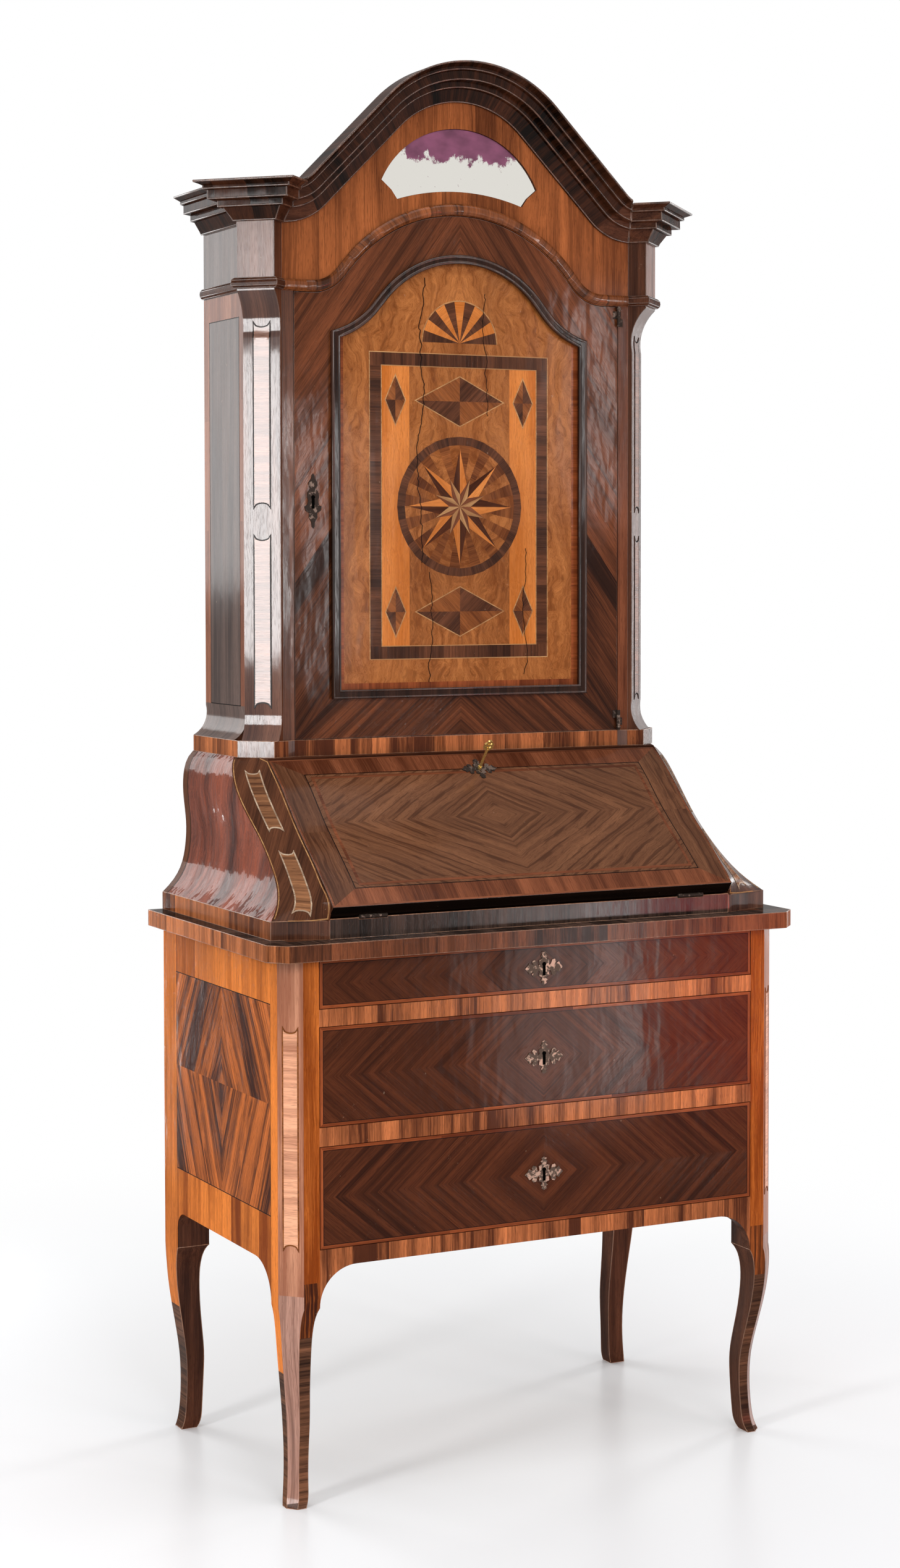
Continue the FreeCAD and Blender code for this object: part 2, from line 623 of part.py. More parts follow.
def bow_solid(points, thick):
    start = Vector(0, -math.cos(slope), -math.sin(slope)) * (thick / 2)
    ring = [point + start for point in points]
    return Part.Face(Part.makePolygon(ring + ring[:1])).extrude(start * -2)


half, thick = bow_plate(BOW_SHARES, 2 * n.bow_wire)
flip = [Vector(2 * key_x - p.x, p.y, p.z) for p in reversed(half[:-1])]
bow = bow_solid(half + flip, thick)
LOWER_EYE, UPPER_EYE = 0, 1
for lift in (LOWER_EYE, UPPER_EYE):
    for side in (-1, 1):
        eye, _ = bow_plate([(side * x, z + lift * EYE_SHARES[2][1]) for x, z in EYE_SHARES], thick)
        bow = bow.cut(bow_solid(eye, 2 * thick))
feature("fall_key", shank.fuse(collar).fuse(bow).removeSplitter())


# Fall hinges: the middle knuckle and a leaf stay on the ledge, the outer two turn
def knuckles(parts_list, gap):
    third = n.hinge_width / 3
    solids = []
    for side in (-1, 1):
        start = side * hinge_place - n.hinge_width / 2
        for i in parts_list:
            place = Vector(start + third * i + gap / 2, hinge_y, hinge_z)
            solids.append(round_bar(n.hinge_radius, third - gap, place, "X"))
    return solids


third = n.hinge_width / 3
fixed, turning = [], []
for side, middle_knuckle in zip((-1, 1), knuckles((1,), n.knuckle_gap)):
    start = side * hinge_place - n.hinge_width / 2
    rest_on = ledge_top
    leaf = block((start, hinge_y + n.hinge_radius + 2 * n.hinge_room, rest_on),
                 (start + n.hinge_width, hinge_y + n.hinge_leaf, rest_on + n.leaf_thick))
    tongue = block((start + third + n.knuckle_gap, hinge_y, rest_on),
                   (start + 2 * third - n.knuckle_gap, hinge_y + n.hinge_leaf,
                    rest_on + n.leaf_thick))
    fixed.append(middle_knuckle.fuse(tongue).fuse(leaf).removeSplitter())
feature("fall_hinge_leaves", Part.Compound(fixed))
outer_knuckles = knuckles((0, 2), n.knuckle_gap)
for index, side in enumerate((-1, 1)):
    start = side * hinge_place - n.hinge_width / 2
    clear = n.hinge_radius + 2 * n.hinge_room
    leaf = slope_box((start, start + n.hinge_width), (clear, n.hinge_leaf), (-n.leaf_thick, 0))
    tongues = [slope_box((start + third * i + n.knuckle_gap, start + third * (i + 1) - n.knuckle_gap),
                         (0, n.hinge_leaf), (-n.leaf_thick, 0)) for i in (0, 2)]
    turning.append(leaf.multiFuse(tongues + outer_knuckles[2 * index:2 * index + 2])
                   .removeSplitter())
feature("fall_hinge_knuckles", Part.Compound(turning))


# Upper cabinet
base_level = desk_level
floor_level = base_level + n.base_height
cabinet_half = n.cabinet_width / 2
cabinet_inner = cabinet_half - n.cabinet_side_thick
shoulder = floor_level + n.opening_height
cornice_level = shoulder + n.cornice_rise
cabinet_top = cornice_level + n.roof_rise
face_back = cabinet_front + n.face_thick
reach = n.pilaster_face / 2 / math.sqrt(2)
base_half = cabinet_half + n.base_lap
corner = Vector(cabinet_half, cabinet_front, 0)


def canted(along, out):
    """Plan point on a right pilaster: along its face, and out from the corner."""
    k = 1 / math.sqrt(2)
    return (corner.x + (along + out) * k, corner.y + (along - out) * k)


half_face = n.pilaster_face / 2
face_left, face_right = canted(-half_face, 0), canted(half_face, 0)
inner_foot = (face_left[0] - (cabinet_front - face_left[1]), cabinet_front)
outer_foot = (cabinet_half, face_right[1] + (face_right[0] - cabinet_half))
frame_x = inner_foot[0]
opening_x = frame_x - n.stile_width

# Base: a moulded plinth board with blocks under the pilasters
block_out = -n.base_block_back
base_corner = (base_half, outer_foot[1] - 2 * n.base_cove_depth)
block_left = canted(-half_face, block_out)
base_right = [(opening_x, cabinet_front),
              (opening_x + n.base_cove, cabinet_front - n.base_cove_depth),
              (base_corner[0] - (base_corner[1] - block_left[1]), block_left[1]),
              base_corner, (base_half, back)]
base_ring = base_right + [(-x, y) for x, y in reversed(base_right)]
padded("cabinet_base", "plan", lines(base_ring), "base_height", base_level)

# Sides: coved out at the foot to meet the base
cove = n.side_cove_height
cove_reach = base_half - cabinet_half
COVE_SHARES = (0.3, 0.27)
side_curves = lines([(base_half, floor_level), (cabinet_inner, floor_level),
                     (cabinet_inner, cabinet_top), (cabinet_half, cabinet_top),
                     (cabinet_half, floor_level + cove)], closed=False)
side_curves.append(arc((cabinet_half, floor_level + cove),
                       (cabinet_half + cove_reach * COVE_SHARES[0],
                        floor_level + cove * COVE_SHARES[1]), (base_half, floor_level)))
side_face = Part.Face(wire(side_curves))
side_face.rotate(Vector(0, 0, 0), Vector(1, 0, 0), 90)
side = side_face.extrude(Vector(0, back - outer_foot[1], 0))
side.translate(Vector(0, outer_foot[1], 0))
pair("cabinet_side", side)
board("cabinet_back", "cabinet_width - 2 * cabinet_side_thick", "cabinet_back_thick",
      "opening_height + cornice_rise + roof_rise",
      (-cabinet_inner, back - n.cabinet_back_thick, floor_level))
# Pilasters: canted blocks, scooped back between base and frieze
plan = [inner_foot, face_left, face_right, outer_foot,
        (cabinet_inner, outer_foot[1]), (frame_x, face_back)]
rough = prism(plan, floor_level, cabinet_top)
scoop_low, scoop_high = floor_level + n.scoop_low_height, shoulder - n.frieze_height / 8
SCOOP_SHARES = (0.3, 0.3)


def scoop_profile():
    """Side profile of the canted face, as flat points: out from the corner, level."""
    deep, foot = -n.pilaster_scoop, -n.base_block_back
    inside = -2 * n.pilaster_face
    high_start = scoop_high - n.scoop_top_height
    bend = SCOOP_SHARES[0]
    return (lines([(n.overrun, cabinet_top), (inside, cabinet_top), (inside, floor_level),
                   (foot, floor_level)], closed=False)
            + [arc((foot, floor_level), (mix(foot, deep, 1 - bend),
                                         mix(floor_level, scoop_low, bend)), (deep, scoop_low))]
            + lines([(deep, scoop_low), (deep, high_start)], closed=False)
            + [arc((deep, high_start), (mix(deep, 0, bend), mix(scoop_high, high_start, bend)),
                   (0, scoop_high))]
            + lines([(0, scoop_high), (n.overrun, scoop_high), (n.overrun, cabinet_top)],
                    closed=False))


scoop_face = Part.Face(wire(scoop_profile()))
scoop_face.rotate(Vector(0, 0, 0), Vector(1, 0, 0), 90)
scoop_solid = scoop_face.extrude(Vector(0, 4 * n.pilaster_face, 0))
scoop_solid.translate(Vector(0, -2 * n.pilaster_face, 0))
scoop_solid.rotate(Vector(0, 0, 0), Vector(0, 0, 1), -45)
scoop_solid.translate(corner)
pair("pilaster", rough.common(scoop_solid).removeSplitter())

stile = block((opening_x, cabinet_front, floor_level), (frame_x, face_back, shoulder))
group("door_stiles", [stile, mirrored(stile)])


# Ogee arches: a crown arc, a tangent straight and a foot arc on each side
def ogee(half, rise, crown_share, foot_share, level):
    """Curves from the left foot over the crown to the right foot, as flat curves."""
    full = (half * half + rise * rise) / (2 * rise)
    crown, foot = crown_share * full, foot_share * full
    both = crown + foot
    span = math.hypot(half, both - rise)
    turn = math.asin(both / span) - math.atan2(both - rise, half)

    def on(radius, centre, angle):
        return (centre[0] + radius * math.sin(angle), centre[1] + radius * math.cos(angle))

    top, low = (0, level + rise - crown), (half, level + foot)
    p_crown = on(crown, top, turn)
    p_foot = on(foot, low, turn + math.pi)
    mid_foot = on(foot, low, math.pi + turn / 2)
    flip = lambda p: (-p[0], p[1])
    return ([arc((-half, level), flip(mid_foot), flip(p_foot))]
            + lines([flip(p_foot), flip(p_crown)], closed=False)
            + [arc(flip(p_crown), (0, level + rise), p_crown)]
            + lines([p_crown, p_foot], closed=False)
            + [arc(p_foot, mid_foot, (half, level))])


def in_front_view(shape, y):
    """Stands a flat shape up in the plane at y, its second axis upwards."""
    shape.rotate(Vector(0, 0, 0), Vector(1, 0, 0), 90)
    shape.translate(Vector(0, y, 0))
    return shape


arch_half = opening_x - n.arch_flat


def arch(grow):
    """The door's ogee at the opening's edge, lifted by an amount."""
    return ogee(arch_half, n.arch_rise, n.arch_crown_share, n.arch_foot_share, shoulder + grow)


def cornice_path(lift):
    return ogee(frame_x, n.pediment_rise, n.pediment_crown_share, n.pediment_foot_share,
                cornice_level + lift)


# Tympanum: the arched face board over the door, with a shallow bed for the mirror
lift = n.tympanum_lap
crest = cornice_path(lift)
opening = arch(0)
tympanum_ring = (lines([(frame_x, cornice_level + lift), (frame_x, shoulder),
                        (arch_half, shoulder)], closed=False)
                 + opening
                 + lines([(-arch_half, shoulder), (-frame_x, shoulder),
                          (-frame_x, cornice_level + lift)], closed=False)
                 + crest)
tympanum_face = Part.Face(Part.Wire(Part.sortEdges([c.toShape() for c in tympanum_ring])[0]))
tympanum = in_front_view(tympanum_face, cabinet_front).extrude(Vector(0, n.face_thick, 0))
mirror_low = cornice_level + n.mirror_low


def mirror_curves(shrink):
    """A crescent glass with cusped ends and a bowed foot."""
    tip, waist, notch = (w - shrink for w in (n.mirror_half, n.mirror_waist, n.mirror_notch))
    apex = cornice_level + n.mirror_apex - shrink
    foot = mirror_low - n.mirror_drop + shrink
    mid = mix(foot, mirror_low, 0.5)
    return ([arc((-tip, mirror_low), (0, apex), (tip, mirror_low))]
            + lines([(tip, mirror_low), (notch, mid), (waist, foot)], closed=False)
            + [arc((waist, foot), (0, foot + n.mirror_bow), (-waist, foot))]
            + lines([(-waist, foot), (-notch, mid), (-tip, mirror_low)], closed=False))


def mirror_solid(shrink, start, thick):
    face = Part.Face(wire(mirror_curves(shrink)))
    return in_front_view(face, start).extrude(Vector(0, thick, 0))


feature("tympanum", tympanum.cut(mirror_solid(0, cabinet_front - n.overrun,
                                              n.mirror_sink + n.overrun)))
feature("tympanum_mirror", mirror_solid(n.mirror_gap, cabinet_front + n.mirror_sink
                                        - n.mirror_thick, n.mirror_thick))


# Mouldings: a profile drawn as (out, up) runs along a path with mitred corners
def profile_wire(points, origin, out, up):
    ring = [origin + out * a + up * b for a, b in points]
    return Part.makePolygon(ring + ring[:1])


def swept(path, section, mitred):
    shell = Part.BRepOffsetAPI.MakePipeShell(path)
    shell.setTransitionMode(1 if mitred else 0)
    if not mitred:
        shell.setBiNormalMode(Vector(0, 1, 0))
    shell.add(section)
    shell.build()
    shell.makeSolid()
    return shell.shape()


CORNICE_SHARES = ((0, 0), (0.09, 0), (0.13, 0.08), (0.31, 0.33), (0.44, 0.35), (0.44, 0.51),
                  (0.67, 0.54), (0.67, 0.77), (0.78, 0.8), (0.78, 0.88), (1, 0.97), (1, 1),
                  (0, 1))
FRIEZE_SHARES = ((0, 0), (0.45, 0), (0.9, 0.22), (1, 0.5), (0.9, 0.78), (0.45, 1), (0, 1))


def scaled(shares, reach_out, height):
    return [(a * reach_out, b * height) for a, b in shares]


def return_run(shares, reach_out, height, level):
    """The moulding round a right pilaster and along its side, in plan corners."""
    points = [(cabinet_half, back), outer_foot, face_right, face_left,
              (face_left[0] - (cabinet_front - face_left[1]) - n.overrun,
               cabinet_front + n.overrun)]
    path = Part.makePolygon([Vector(x, y, level) for x, y in points])
    start = Vector(cabinet_half, back, level)
    section = profile_wire(scaled(shares, reach_out, height), start,
                           Vector(1, 0, 0), Vector(0, 0, 1))
    return swept(path, section, True)


def mitre_side(reach_out, low, high):
    """Everything on the front's side of the mitre at a right pilaster's inner foot."""
    x, y = inner_foot
    out = 2 * reach_out
    slant = out * math.tan(math.radians(22.5))
    return prism([(-n.cabinet_width, y + n.overrun), (x + slant * n.overrun / out, y + n.overrun),
                  (x - slant, y - out), (-n.cabinet_width, y - out)], low, high)


def moulding(name, shares, reach_out, height, level, front_path, top):
    """A front length along its arch and two returns, mitred together."""
    side = mitre_side(reach_out, level - n.overrun, top)
    turned = return_run(shares, reach_out, height, level)
    front_cut = turned.cut(side)
    behind = block((0, cabinet_front, level - n.overrun),
                   (inner_foot[0] + n.overrun, back, top))
    right = front_cut.cut(behind)
    path = in_front_view(Part.Wire(Part.sortEdges([c.toShape() for c in front_path])[0]),
                         cabinet_front)
    path_start = path.OrderedVertexes[0].Point
    section = profile_wire(scaled(shares, reach_out, height), path_start,
                           Vector(0, -1, 0), Vector(0, 0, 1))
    middle = swept(path, section, False).common(side).common(mirrored(side))
    return middle, right


overlap = n.cornice_reach
cornice_front_path = (lines([(-frame_x - overlap, cornice_level), (-frame_x, cornice_level)],
                            closed=False) + cornice_path(0)
                      + lines([(frame_x, cornice_level), (frame_x + overlap, cornice_level)],
                              closed=False))
top_limit = cornice_level + n.pediment_rise + 2 * n.cornice_height
middle, right = moulding("cornice", CORNICE_SHARES, n.cornice_reach, n.cornice_height,
                         cornice_level, cornice_front_path, top_limit)
feature("cornice_arch", middle)
pair("cornice", right)

frieze_level = shoulder + n.arris
frieze_front_path = (lines([(-frame_x - overlap, frieze_level), (-arch_half, frieze_level)],
                           closed=False) + arch(n.arris)
                     + lines([(arch_half, frieze_level), (frame_x + overlap, frieze_level)],
                             closed=False))
middle, right = moulding("frieze", FRIEZE_SHARES, n.frieze_reach, n.frieze_height,
                         frieze_level, frieze_front_path, top_limit)
group("frieze_moulding", [middle, right, mirrored(right)])


# Boards across the cabinet, notched round the pilasters
def plank_between(start, low, thick):
    plank = block((-cabinet_inner, start, low),
                  (cabinet_inner, back - n.cabinet_back_thick, low + thick))
    for side in (-1, 1):
        plank = plank.cut(prism([(side * x, y) for x, y in plan], low - n.overrun,
                                low + thick + n.overrun))
    return plank


feature("cabinet_roof", plank_between(face_back, cabinet_top - n.roof_thick, n.roof_thick))


# Shelves on cleats, behind the door
def shelf(name, height):
    low = floor_level + height
    rear = back - n.cabinet_back_thick
    plank = plank_between(face_back + n.shelf_setback, low, n.shelf_thick)
    cleat = block((cabinet_inner - n.cleat_size, outer_foot[1] + n.overrun, low - n.cleat_size),
                  (cabinet_inner, rear, low))
    group(name, [plank, cleat, mirrored(cleat)])


shelf("shelf_lower", n.shelf_low)
shelf("shelf_upper", n.shelf_high)

# Door: an arched frame, a panel let into it, and a raised bead over the joint
gap = n.door_gap
door_low = floor_level + gap
door_half = opening_x - gap
door_shoulder = shoulder - gap


def door_outline():
    # The arch is the opening's own, drawn in by the gap, so its feet shift with it
    curves = ogee(arch_half, n.arch_rise, n.arch_crown_share, n.arch_foot_share, door_shoulder)
    straight = lines([(arch_half, door_shoulder), (door_half, door_shoulder),
                      (door_half, door_low), (-door_half, door_low),
                      (-door_half, door_shoulder), (-arch_half, door_shoulder)], closed=False)
    return Part.Wire(Part.sortEdges([c.toShape() for c in curves + straight])[0])


def drawn_in(width):
    return door_outline().makeOffset2D(-width, join=2)


def ring_solid(outside, inside, start, thick):
    face = Part.Face(outside).cut(Part.Face(inside)) if inside else Part.Face(outside)
    return in_front_view(face, start).extrude(Vector(0, thick, 0))


keyhole_x, keyhole_z = n.door_plate_place - door_half, door_low + n.door_plate_level
door_frame = ring_solid(door_outline(), drawn_in(n.door_frame_width), cabinet_front, n.door_thick)
door_hole = keyhole(n.door_thick)
door_hole.translate(Vector(keyhole_x, cabinet_front, keyhole_z))
feature("door_frame", door_frame.cut(door_hole))
feature("door_panel", ring_solid(drawn_in(n.door_frame_width), None,
                                 cabinet_front + n.panel_sink, n.panel_thick))
feature("door_bead", ring_solid(drawn_in(n.bead_edge), drawn_in(n.bead_edge + n.bead_width),
                                cabinet_front - n.bead_reach, n.bead_reach))
door_plate = pierced_plate(n.door_plate_width, n.door_plate_height, n.plate_thick,
                           DOOR_PLATE_SHARES)
door_plate.translate(Vector(keyhole_x, cabinet_front, keyhole_z))
feature("door_plate", door_plate)

# Door pivots at the right edge: the lower barrel of each pair stays on the stile
pivot_x, pivot_y = opening_x - gap / 2, cabinet_front - n.pivot_ball - n.slide_gap
leaf_y = cabinet_front - n.leaf_thick


def barrel(low, side):
    """One barrel with its small leaf, on the stile (side 1) or the door (side -1)."""
    post = round_bar(n.pivot_radius, n.pivot_length, Vector(pivot_x, pivot_y, low), "Z")
    edge = opening_x if side > 0 else door_half - n.pivot_leaf
    leaf = block((edge, leaf_y, low), (edge + n.pivot_leaf, cabinet_front, low + n.pivot_length))
    near, far = sorted((pivot_x, pivot_x + side * n.pivot_radius))
    arm = block((near, pivot_y, low), (far, leaf_y + n.leaf_thick, low + n.pivot_length))
    web = block((min(near, edge), leaf_y, low),
                (max(far, edge + n.pivot_leaf), cabinet_front, low + n.pivot_length))
    return post.multiFuse([leaf, web, arm]).removeSplitter()


FINIAL_SHARES = ((0, 0), (0.5, 0), (1, 0.8), (0.6, 1.7), (0, 1.9))


def finial(level, way):
    """A small turned knob on the end of a pivot, pointing up or down."""
    ring = [Vector(pivot_x + n.pivot_ball * r, pivot_y, level + way * n.pivot_ball * z)
            for r, z in FINIAL_SHARES]
    face = Part.Face(Part.makePolygon(ring + ring[:1]))
    return face.revolve(Vector(pivot_x, pivot_y, 0), Vector(0, 0, 1), 360)


still, moving = [], []
knob = FINIAL_SHARES[-1][1] * n.pivot_ball
foot_pivot = floor_level + knob + n.slide_gap
head_pivot = shoulder - knob - 2 * n.pivot_length - n.knuckle_gap - n.slide_gap
for low in (foot_pivot, head_pivot):
    still.append(barrel(low, 1))
    moving.append(barrel(low + n.pivot_length + n.knuckle_gap, -1))
still[0] = still[0].fuse(finial(foot_pivot, -1))
moving[1] = moving[1].fuse(finial(head_pivot + 2 * n.pivot_length + n.knuckle_gap, 1))
group("door_hinge_leaves", still)
group("door_hinge_barrels", moving)

# Check every object and every piece before anything is written
doc.recompute()
for obj in doc.Objects:
    if "Invalid" in obj.State or "Error" in obj.State:
        raise RuntimeError(f"{obj.Name} did not build: {obj.State}")
os.makedirs("parts", exist_ok=True)
for obj in PARTS:
    if obj.Shape.isNull() or not obj.Shape.isValid() or not obj.Shape.Solids:
        raise RuntimeError(f"{obj.Label} has no valid solid")
    obj.Shape.exportStep(f"parts/{obj.Label}.step")
print(len(PARTS), "nodes,", sum(len(obj.Shape.Solids) for obj in PARTS), "solids")
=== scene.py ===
# %% [markdown]
# # A bureau cabinet in walnut and rosewood veneer
# The joiner's part of this piece is finished: boards, legs, drawers, a hinged
# fall, a hinged door and a mitred cornice come in as a fixed frame. What is left
# is what a veneer cutter, an inlay worker and a polisher do. Each cell below
# takes one of their jobs. First the frame is loaded.

# %% Load the joiner's work
import json
import math
import random
from dataclasses import dataclass, replace

import bmesh
import bpy
from mathutils import Matrix, Vector
from mathutils.bvhtree import BVHTree


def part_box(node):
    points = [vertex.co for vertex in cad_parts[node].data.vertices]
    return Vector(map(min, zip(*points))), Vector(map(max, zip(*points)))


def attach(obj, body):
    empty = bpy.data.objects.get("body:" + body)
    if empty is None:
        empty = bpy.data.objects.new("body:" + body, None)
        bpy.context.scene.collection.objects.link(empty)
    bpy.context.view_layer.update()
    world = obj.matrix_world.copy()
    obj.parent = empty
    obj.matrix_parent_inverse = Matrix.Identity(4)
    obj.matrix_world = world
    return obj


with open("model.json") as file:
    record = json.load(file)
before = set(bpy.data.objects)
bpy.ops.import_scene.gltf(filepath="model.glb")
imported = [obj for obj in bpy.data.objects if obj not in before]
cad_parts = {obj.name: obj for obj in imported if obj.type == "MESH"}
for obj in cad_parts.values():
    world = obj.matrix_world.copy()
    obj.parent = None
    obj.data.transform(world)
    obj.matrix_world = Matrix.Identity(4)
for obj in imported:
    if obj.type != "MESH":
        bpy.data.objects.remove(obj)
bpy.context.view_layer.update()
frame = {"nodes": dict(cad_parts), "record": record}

scene = bpy.context.scene
nodes = frame["nodes"]

# %% [markdown]
# ## Camera
# The picture to match was taken from the left, a little above the middle of the
# piece, with a long lens, so that uprights stay nearly parallel. The camera is a
# lens of about 63 mm on a 36 mm frame. It looks down a little, and a small shift of
# the frame brings the feet into the picture without tilting it any further.

# %% Place the camera
PICTURE = (1456, 2538)
SENSOR = 36.0
LENS_PIXELS = 4420.0
OPTICAL_CENTRE = (712.7, 1114.2)
CAMERA_PLACE = Vector((-2.1315, -4.0617, 1.4622))
YAW, PITCH, ROLL = (math.radians(a) for a in (27.02, -2.47, 0.086))
FAR_CLIP = 60


def linked(name, data):
    """A new object in the scene."""
    made = bpy.data.objects.new(name, data)
    scene.collection.objects.link(made)
    return made


camera_data = bpy.data.cameras.new("camera")
camera_data.sensor_fit = "VERTICAL"
camera_data.sensor_height = SENSOR
camera_data.lens = SENSOR * LENS_PIXELS / PICTURE[1]
camera_data.shift_x = (PICTURE[0] / 2 - OPTICAL_CENTRE[0]) / PICTURE[1]
camera_data.shift_y = (OPTICAL_CENTRE[1] - PICTURE[1] / 2) / PICTURE[1]
camera_data.clip_end = FAR_CLIP
camera = linked("camera", camera_data)
turn = Matrix.Rotation(-YAW, 4, "Z") @ Matrix.Rotation(math.pi / 2 + PITCH, 4, "X")
camera.matrix_world = Matrix.Translation(CAMERA_PLACE) @ turn @ Matrix.Rotation(-ROLL, 4, "Z")
scene.camera = camera
scene.view_settings.view_transform = "Standard"
print("lens", round(camera_data.lens, 1), "mm")

# %% [markdown]
# ## Short ways to wire a tree
# A node tree is a list of boxes and wires. One helper adds a box with its settings
# and wires its inputs. The others are short names for the boxes used most: a mix of
# two colours, a sum, a stretched range, a noise. Anything that is the same all over
# a surface, such as a polish, is set on the shader itself.

# %% Wiring helpers
def sRGB(red, green, blue):
    """A colour as a screen shows it, from 0 to 255, made linear for a shader."""
    def linear(v):
        v /= 255
        return v / 12.92 if v <= 0.04045 else ((v + 0.055) / 1.055) ** 2.4
    return (linear(red), linear(green), linear(blue), 1.0)


def add(tree, kind, inputs=None, **settings):
    """Adds a node, makes its settings, and sets or wires its inputs."""
    node = tree.nodes.new(kind if kind.startswith("Geometry") else "ShaderNode" + kind)
    for key, value in settings.items():
        setattr(node, key, value)
    for key, value in (inputs or {}).items():
        if isinstance(value, bpy.types.NodeSocket):
            tree.links.new(value, node.inputs[key])
        else:
            node.inputs[key].default_value = value
    return node


def mixed(tree, share, first, second, way="MIX"):
    """The colour between two colours."""
    node = add(tree, "Mix", {0: share, 6: first, 7: second}, data_type="RGBA", blend_type=way)
    return node.outputs[2]


def maths(tree, way, first, second=0.0, third=0.0):
    return add(tree, "Math", {0: first, 1: second, 2: third}, operation=way).outputs[0]


def steps(tree, value, low, high, to_low=0.0, to_high=1.0):
    """A value stretched from one range to another, and held inside it."""
    return add(tree, "MapRange", {"Value": value, "From Min": low, "From Max": high,
                                  "To Min": to_low, "To Max": to_high}).outputs[0]


def noise(tree, vector, stretch, detail=2.0, rough=0.5, warp=0.0):
    """Noise whose pattern is stretched by three numbers, in waves a metre."""
    scaled = add(tree, "VectorMath", {0: vector, 1: stretch}, operation="MULTIPLY").outputs[0]
    return add(tree, "TexNoise", {"Vector": scaled, "Scale": 1.0, "Detail": detail,
                                  "Roughness": rough, "Distortion": warp}).outputs["Fac"]


def vectors(tree, way, first, second):
    return add(tree, "VectorMath", {0: first, 1: second}, operation=way).outputs[0]


def node_group(name, kind, inputs, outputs):
    """A group with named sockets: its tree, what goes in and what comes out."""
    tree = bpy.data.node_groups.new(name, kind + "NodeTree")
    for way, sockets in (("INPUT", inputs), ("OUTPUT", outputs)):
        for label, shape, *value in sockets:
            socket = tree.interface.new_socket(label, in_out=way, socket_type="NodeSocket" + shape)
            if value:
                socket.default_value = value[0]
    return tree, tree.nodes.new("NodeGroupInput").outputs, tree.nodes.new("NodeGroupOutput").inputs


def new_material(name):
    """A material and its empty tree."""
    made = bpy.data.materials.new(name)
    made.use_nodes = True
    made.node_tree.nodes.clear()
    return made, made.node_tree


def surface(tree, inputs):
    """The shader of a material, with its inputs set or wired, and the way out."""
    shader = add(tree, "BsdfPrincipled", inputs)
    add(tree, "OutputMaterial", {"Surface": shader.outputs[0]})


# %% [markdown]
# ## Studio
# Polished furniture shows its light more than its colour. Large soft lamps at the
# left, the front and the right draw the long pale lines that show each edge. At
# the front right stands a window of narrow panes with a red cloth beside it: both
# show in the drawers and the door, as soft bright and red patches, and two slits
# of light behind the left side streak the chest's polish. The backdrop is white,
# and its own light is kept low, so that dark veneer stays dark. The floor is white
# paper that keeps the soft shadow and fades into the backdrop.

# %% Floor, world and lamps
FLOOR_REACH = 2.5
FADE_START, FADE_END = 0.9, 2.3
ROOM_LOW, ROOM_HIGH = 0.1, 0.66
ROOM_FLOOR, ROOM_CEILING = -0.05, 0.45
WHITE = (1, 1, 1, 1)


def direct_ray(tree):
    """One for a ray from the camera, through glass or off a polish, else nought."""
    rays = add(tree, "LightPath").outputs
    seen = maths(tree, "MAXIMUM", rays["Is Camera Ray"], rays["Is Transmission Ray"])
    return maths(tree, "MAXIMUM", seen, rays["Is Glossy Ray"])


floor_data = bpy.data.meshes.new("floor")
floor_data.from_pydata([(a * FLOOR_REACH, b * FLOOR_REACH, 0)
                        for a, b in ((-1, -1), (1, -1), (1, 1), (-1, 1))], [], [(0, 1, 2, 3)])
floor = linked("floor", floor_data)
paper, tree = new_material("white_paper")
shader = add(tree, "BsdfPrincipled", {"Base Color": sRGB(235, 236, 238), "Roughness": 0.3,
                                      "Specular IOR Level": 0.25})
place = add(tree, "TexCoord").outputs["Object"]
away = add(tree, "VectorMath", {0: place}, operation="LENGTH").outputs["Value"]
far = add(tree, "MapRange", {"Value": away, "From Min": FADE_START, "From Max": FADE_END},
          interpolation_type="SMOOTHSTEP").outputs[0]
backdrop = add(tree, "Emission", {"Color": WHITE, "Strength": 1.0}).outputs[0]
blend = add(tree, "MixShader", {0: maths(tree, "MULTIPLY", direct_ray(tree), far),
                                1: shader.outputs[0], 2: backdrop}).outputs[0]
add(tree, "OutputMaterial", {"Surface": blend})
floor.data.materials.append(paper)

world = bpy.data.worlds.new("white_room")
scene.world = world
world.use_nodes = True
tree = world.node_tree
tree.nodes.clear()
toward = add(tree, "TexCoord").outputs["Generated"]
height = add(tree, "SeparateXYZ", {0: toward}).outputs["Z"]
room_light = steps(tree, height, ROOM_FLOOR, ROOM_CEILING, ROOM_LOW, ROOM_HIGH)
room = add(tree, "Background", {"Color": WHITE, "Strength": room_light}).outputs[0]
white = add(tree, "Background", {"Color": WHITE, "Strength": 1.0}).outputs[0]
mix = add(tree, "MixShader", {0: direct_ray(tree), 1: room, 2: white}).outputs[0]
add(tree, "OutputWorld", {0: mix})


def soft_lamp(name, place, aim, size, radiance, colour=(1, 1, 1)):
    """A soft lamp given by how bright its face is, where 1 is white."""
    data = bpy.data.lights.new(name, "AREA")
    data.color = colour
    data.shape = "RECTANGLE"
    data.size, data.size_y = size
    data.energy = radiance * math.pi * size[0] * size[1]
    lamp = linked(name, data)
    lamp.location = place
    lamp.rotation_euler = (Vector(aim) - Vector(place)).to_track_quat("-Z", "Y").to_euler()


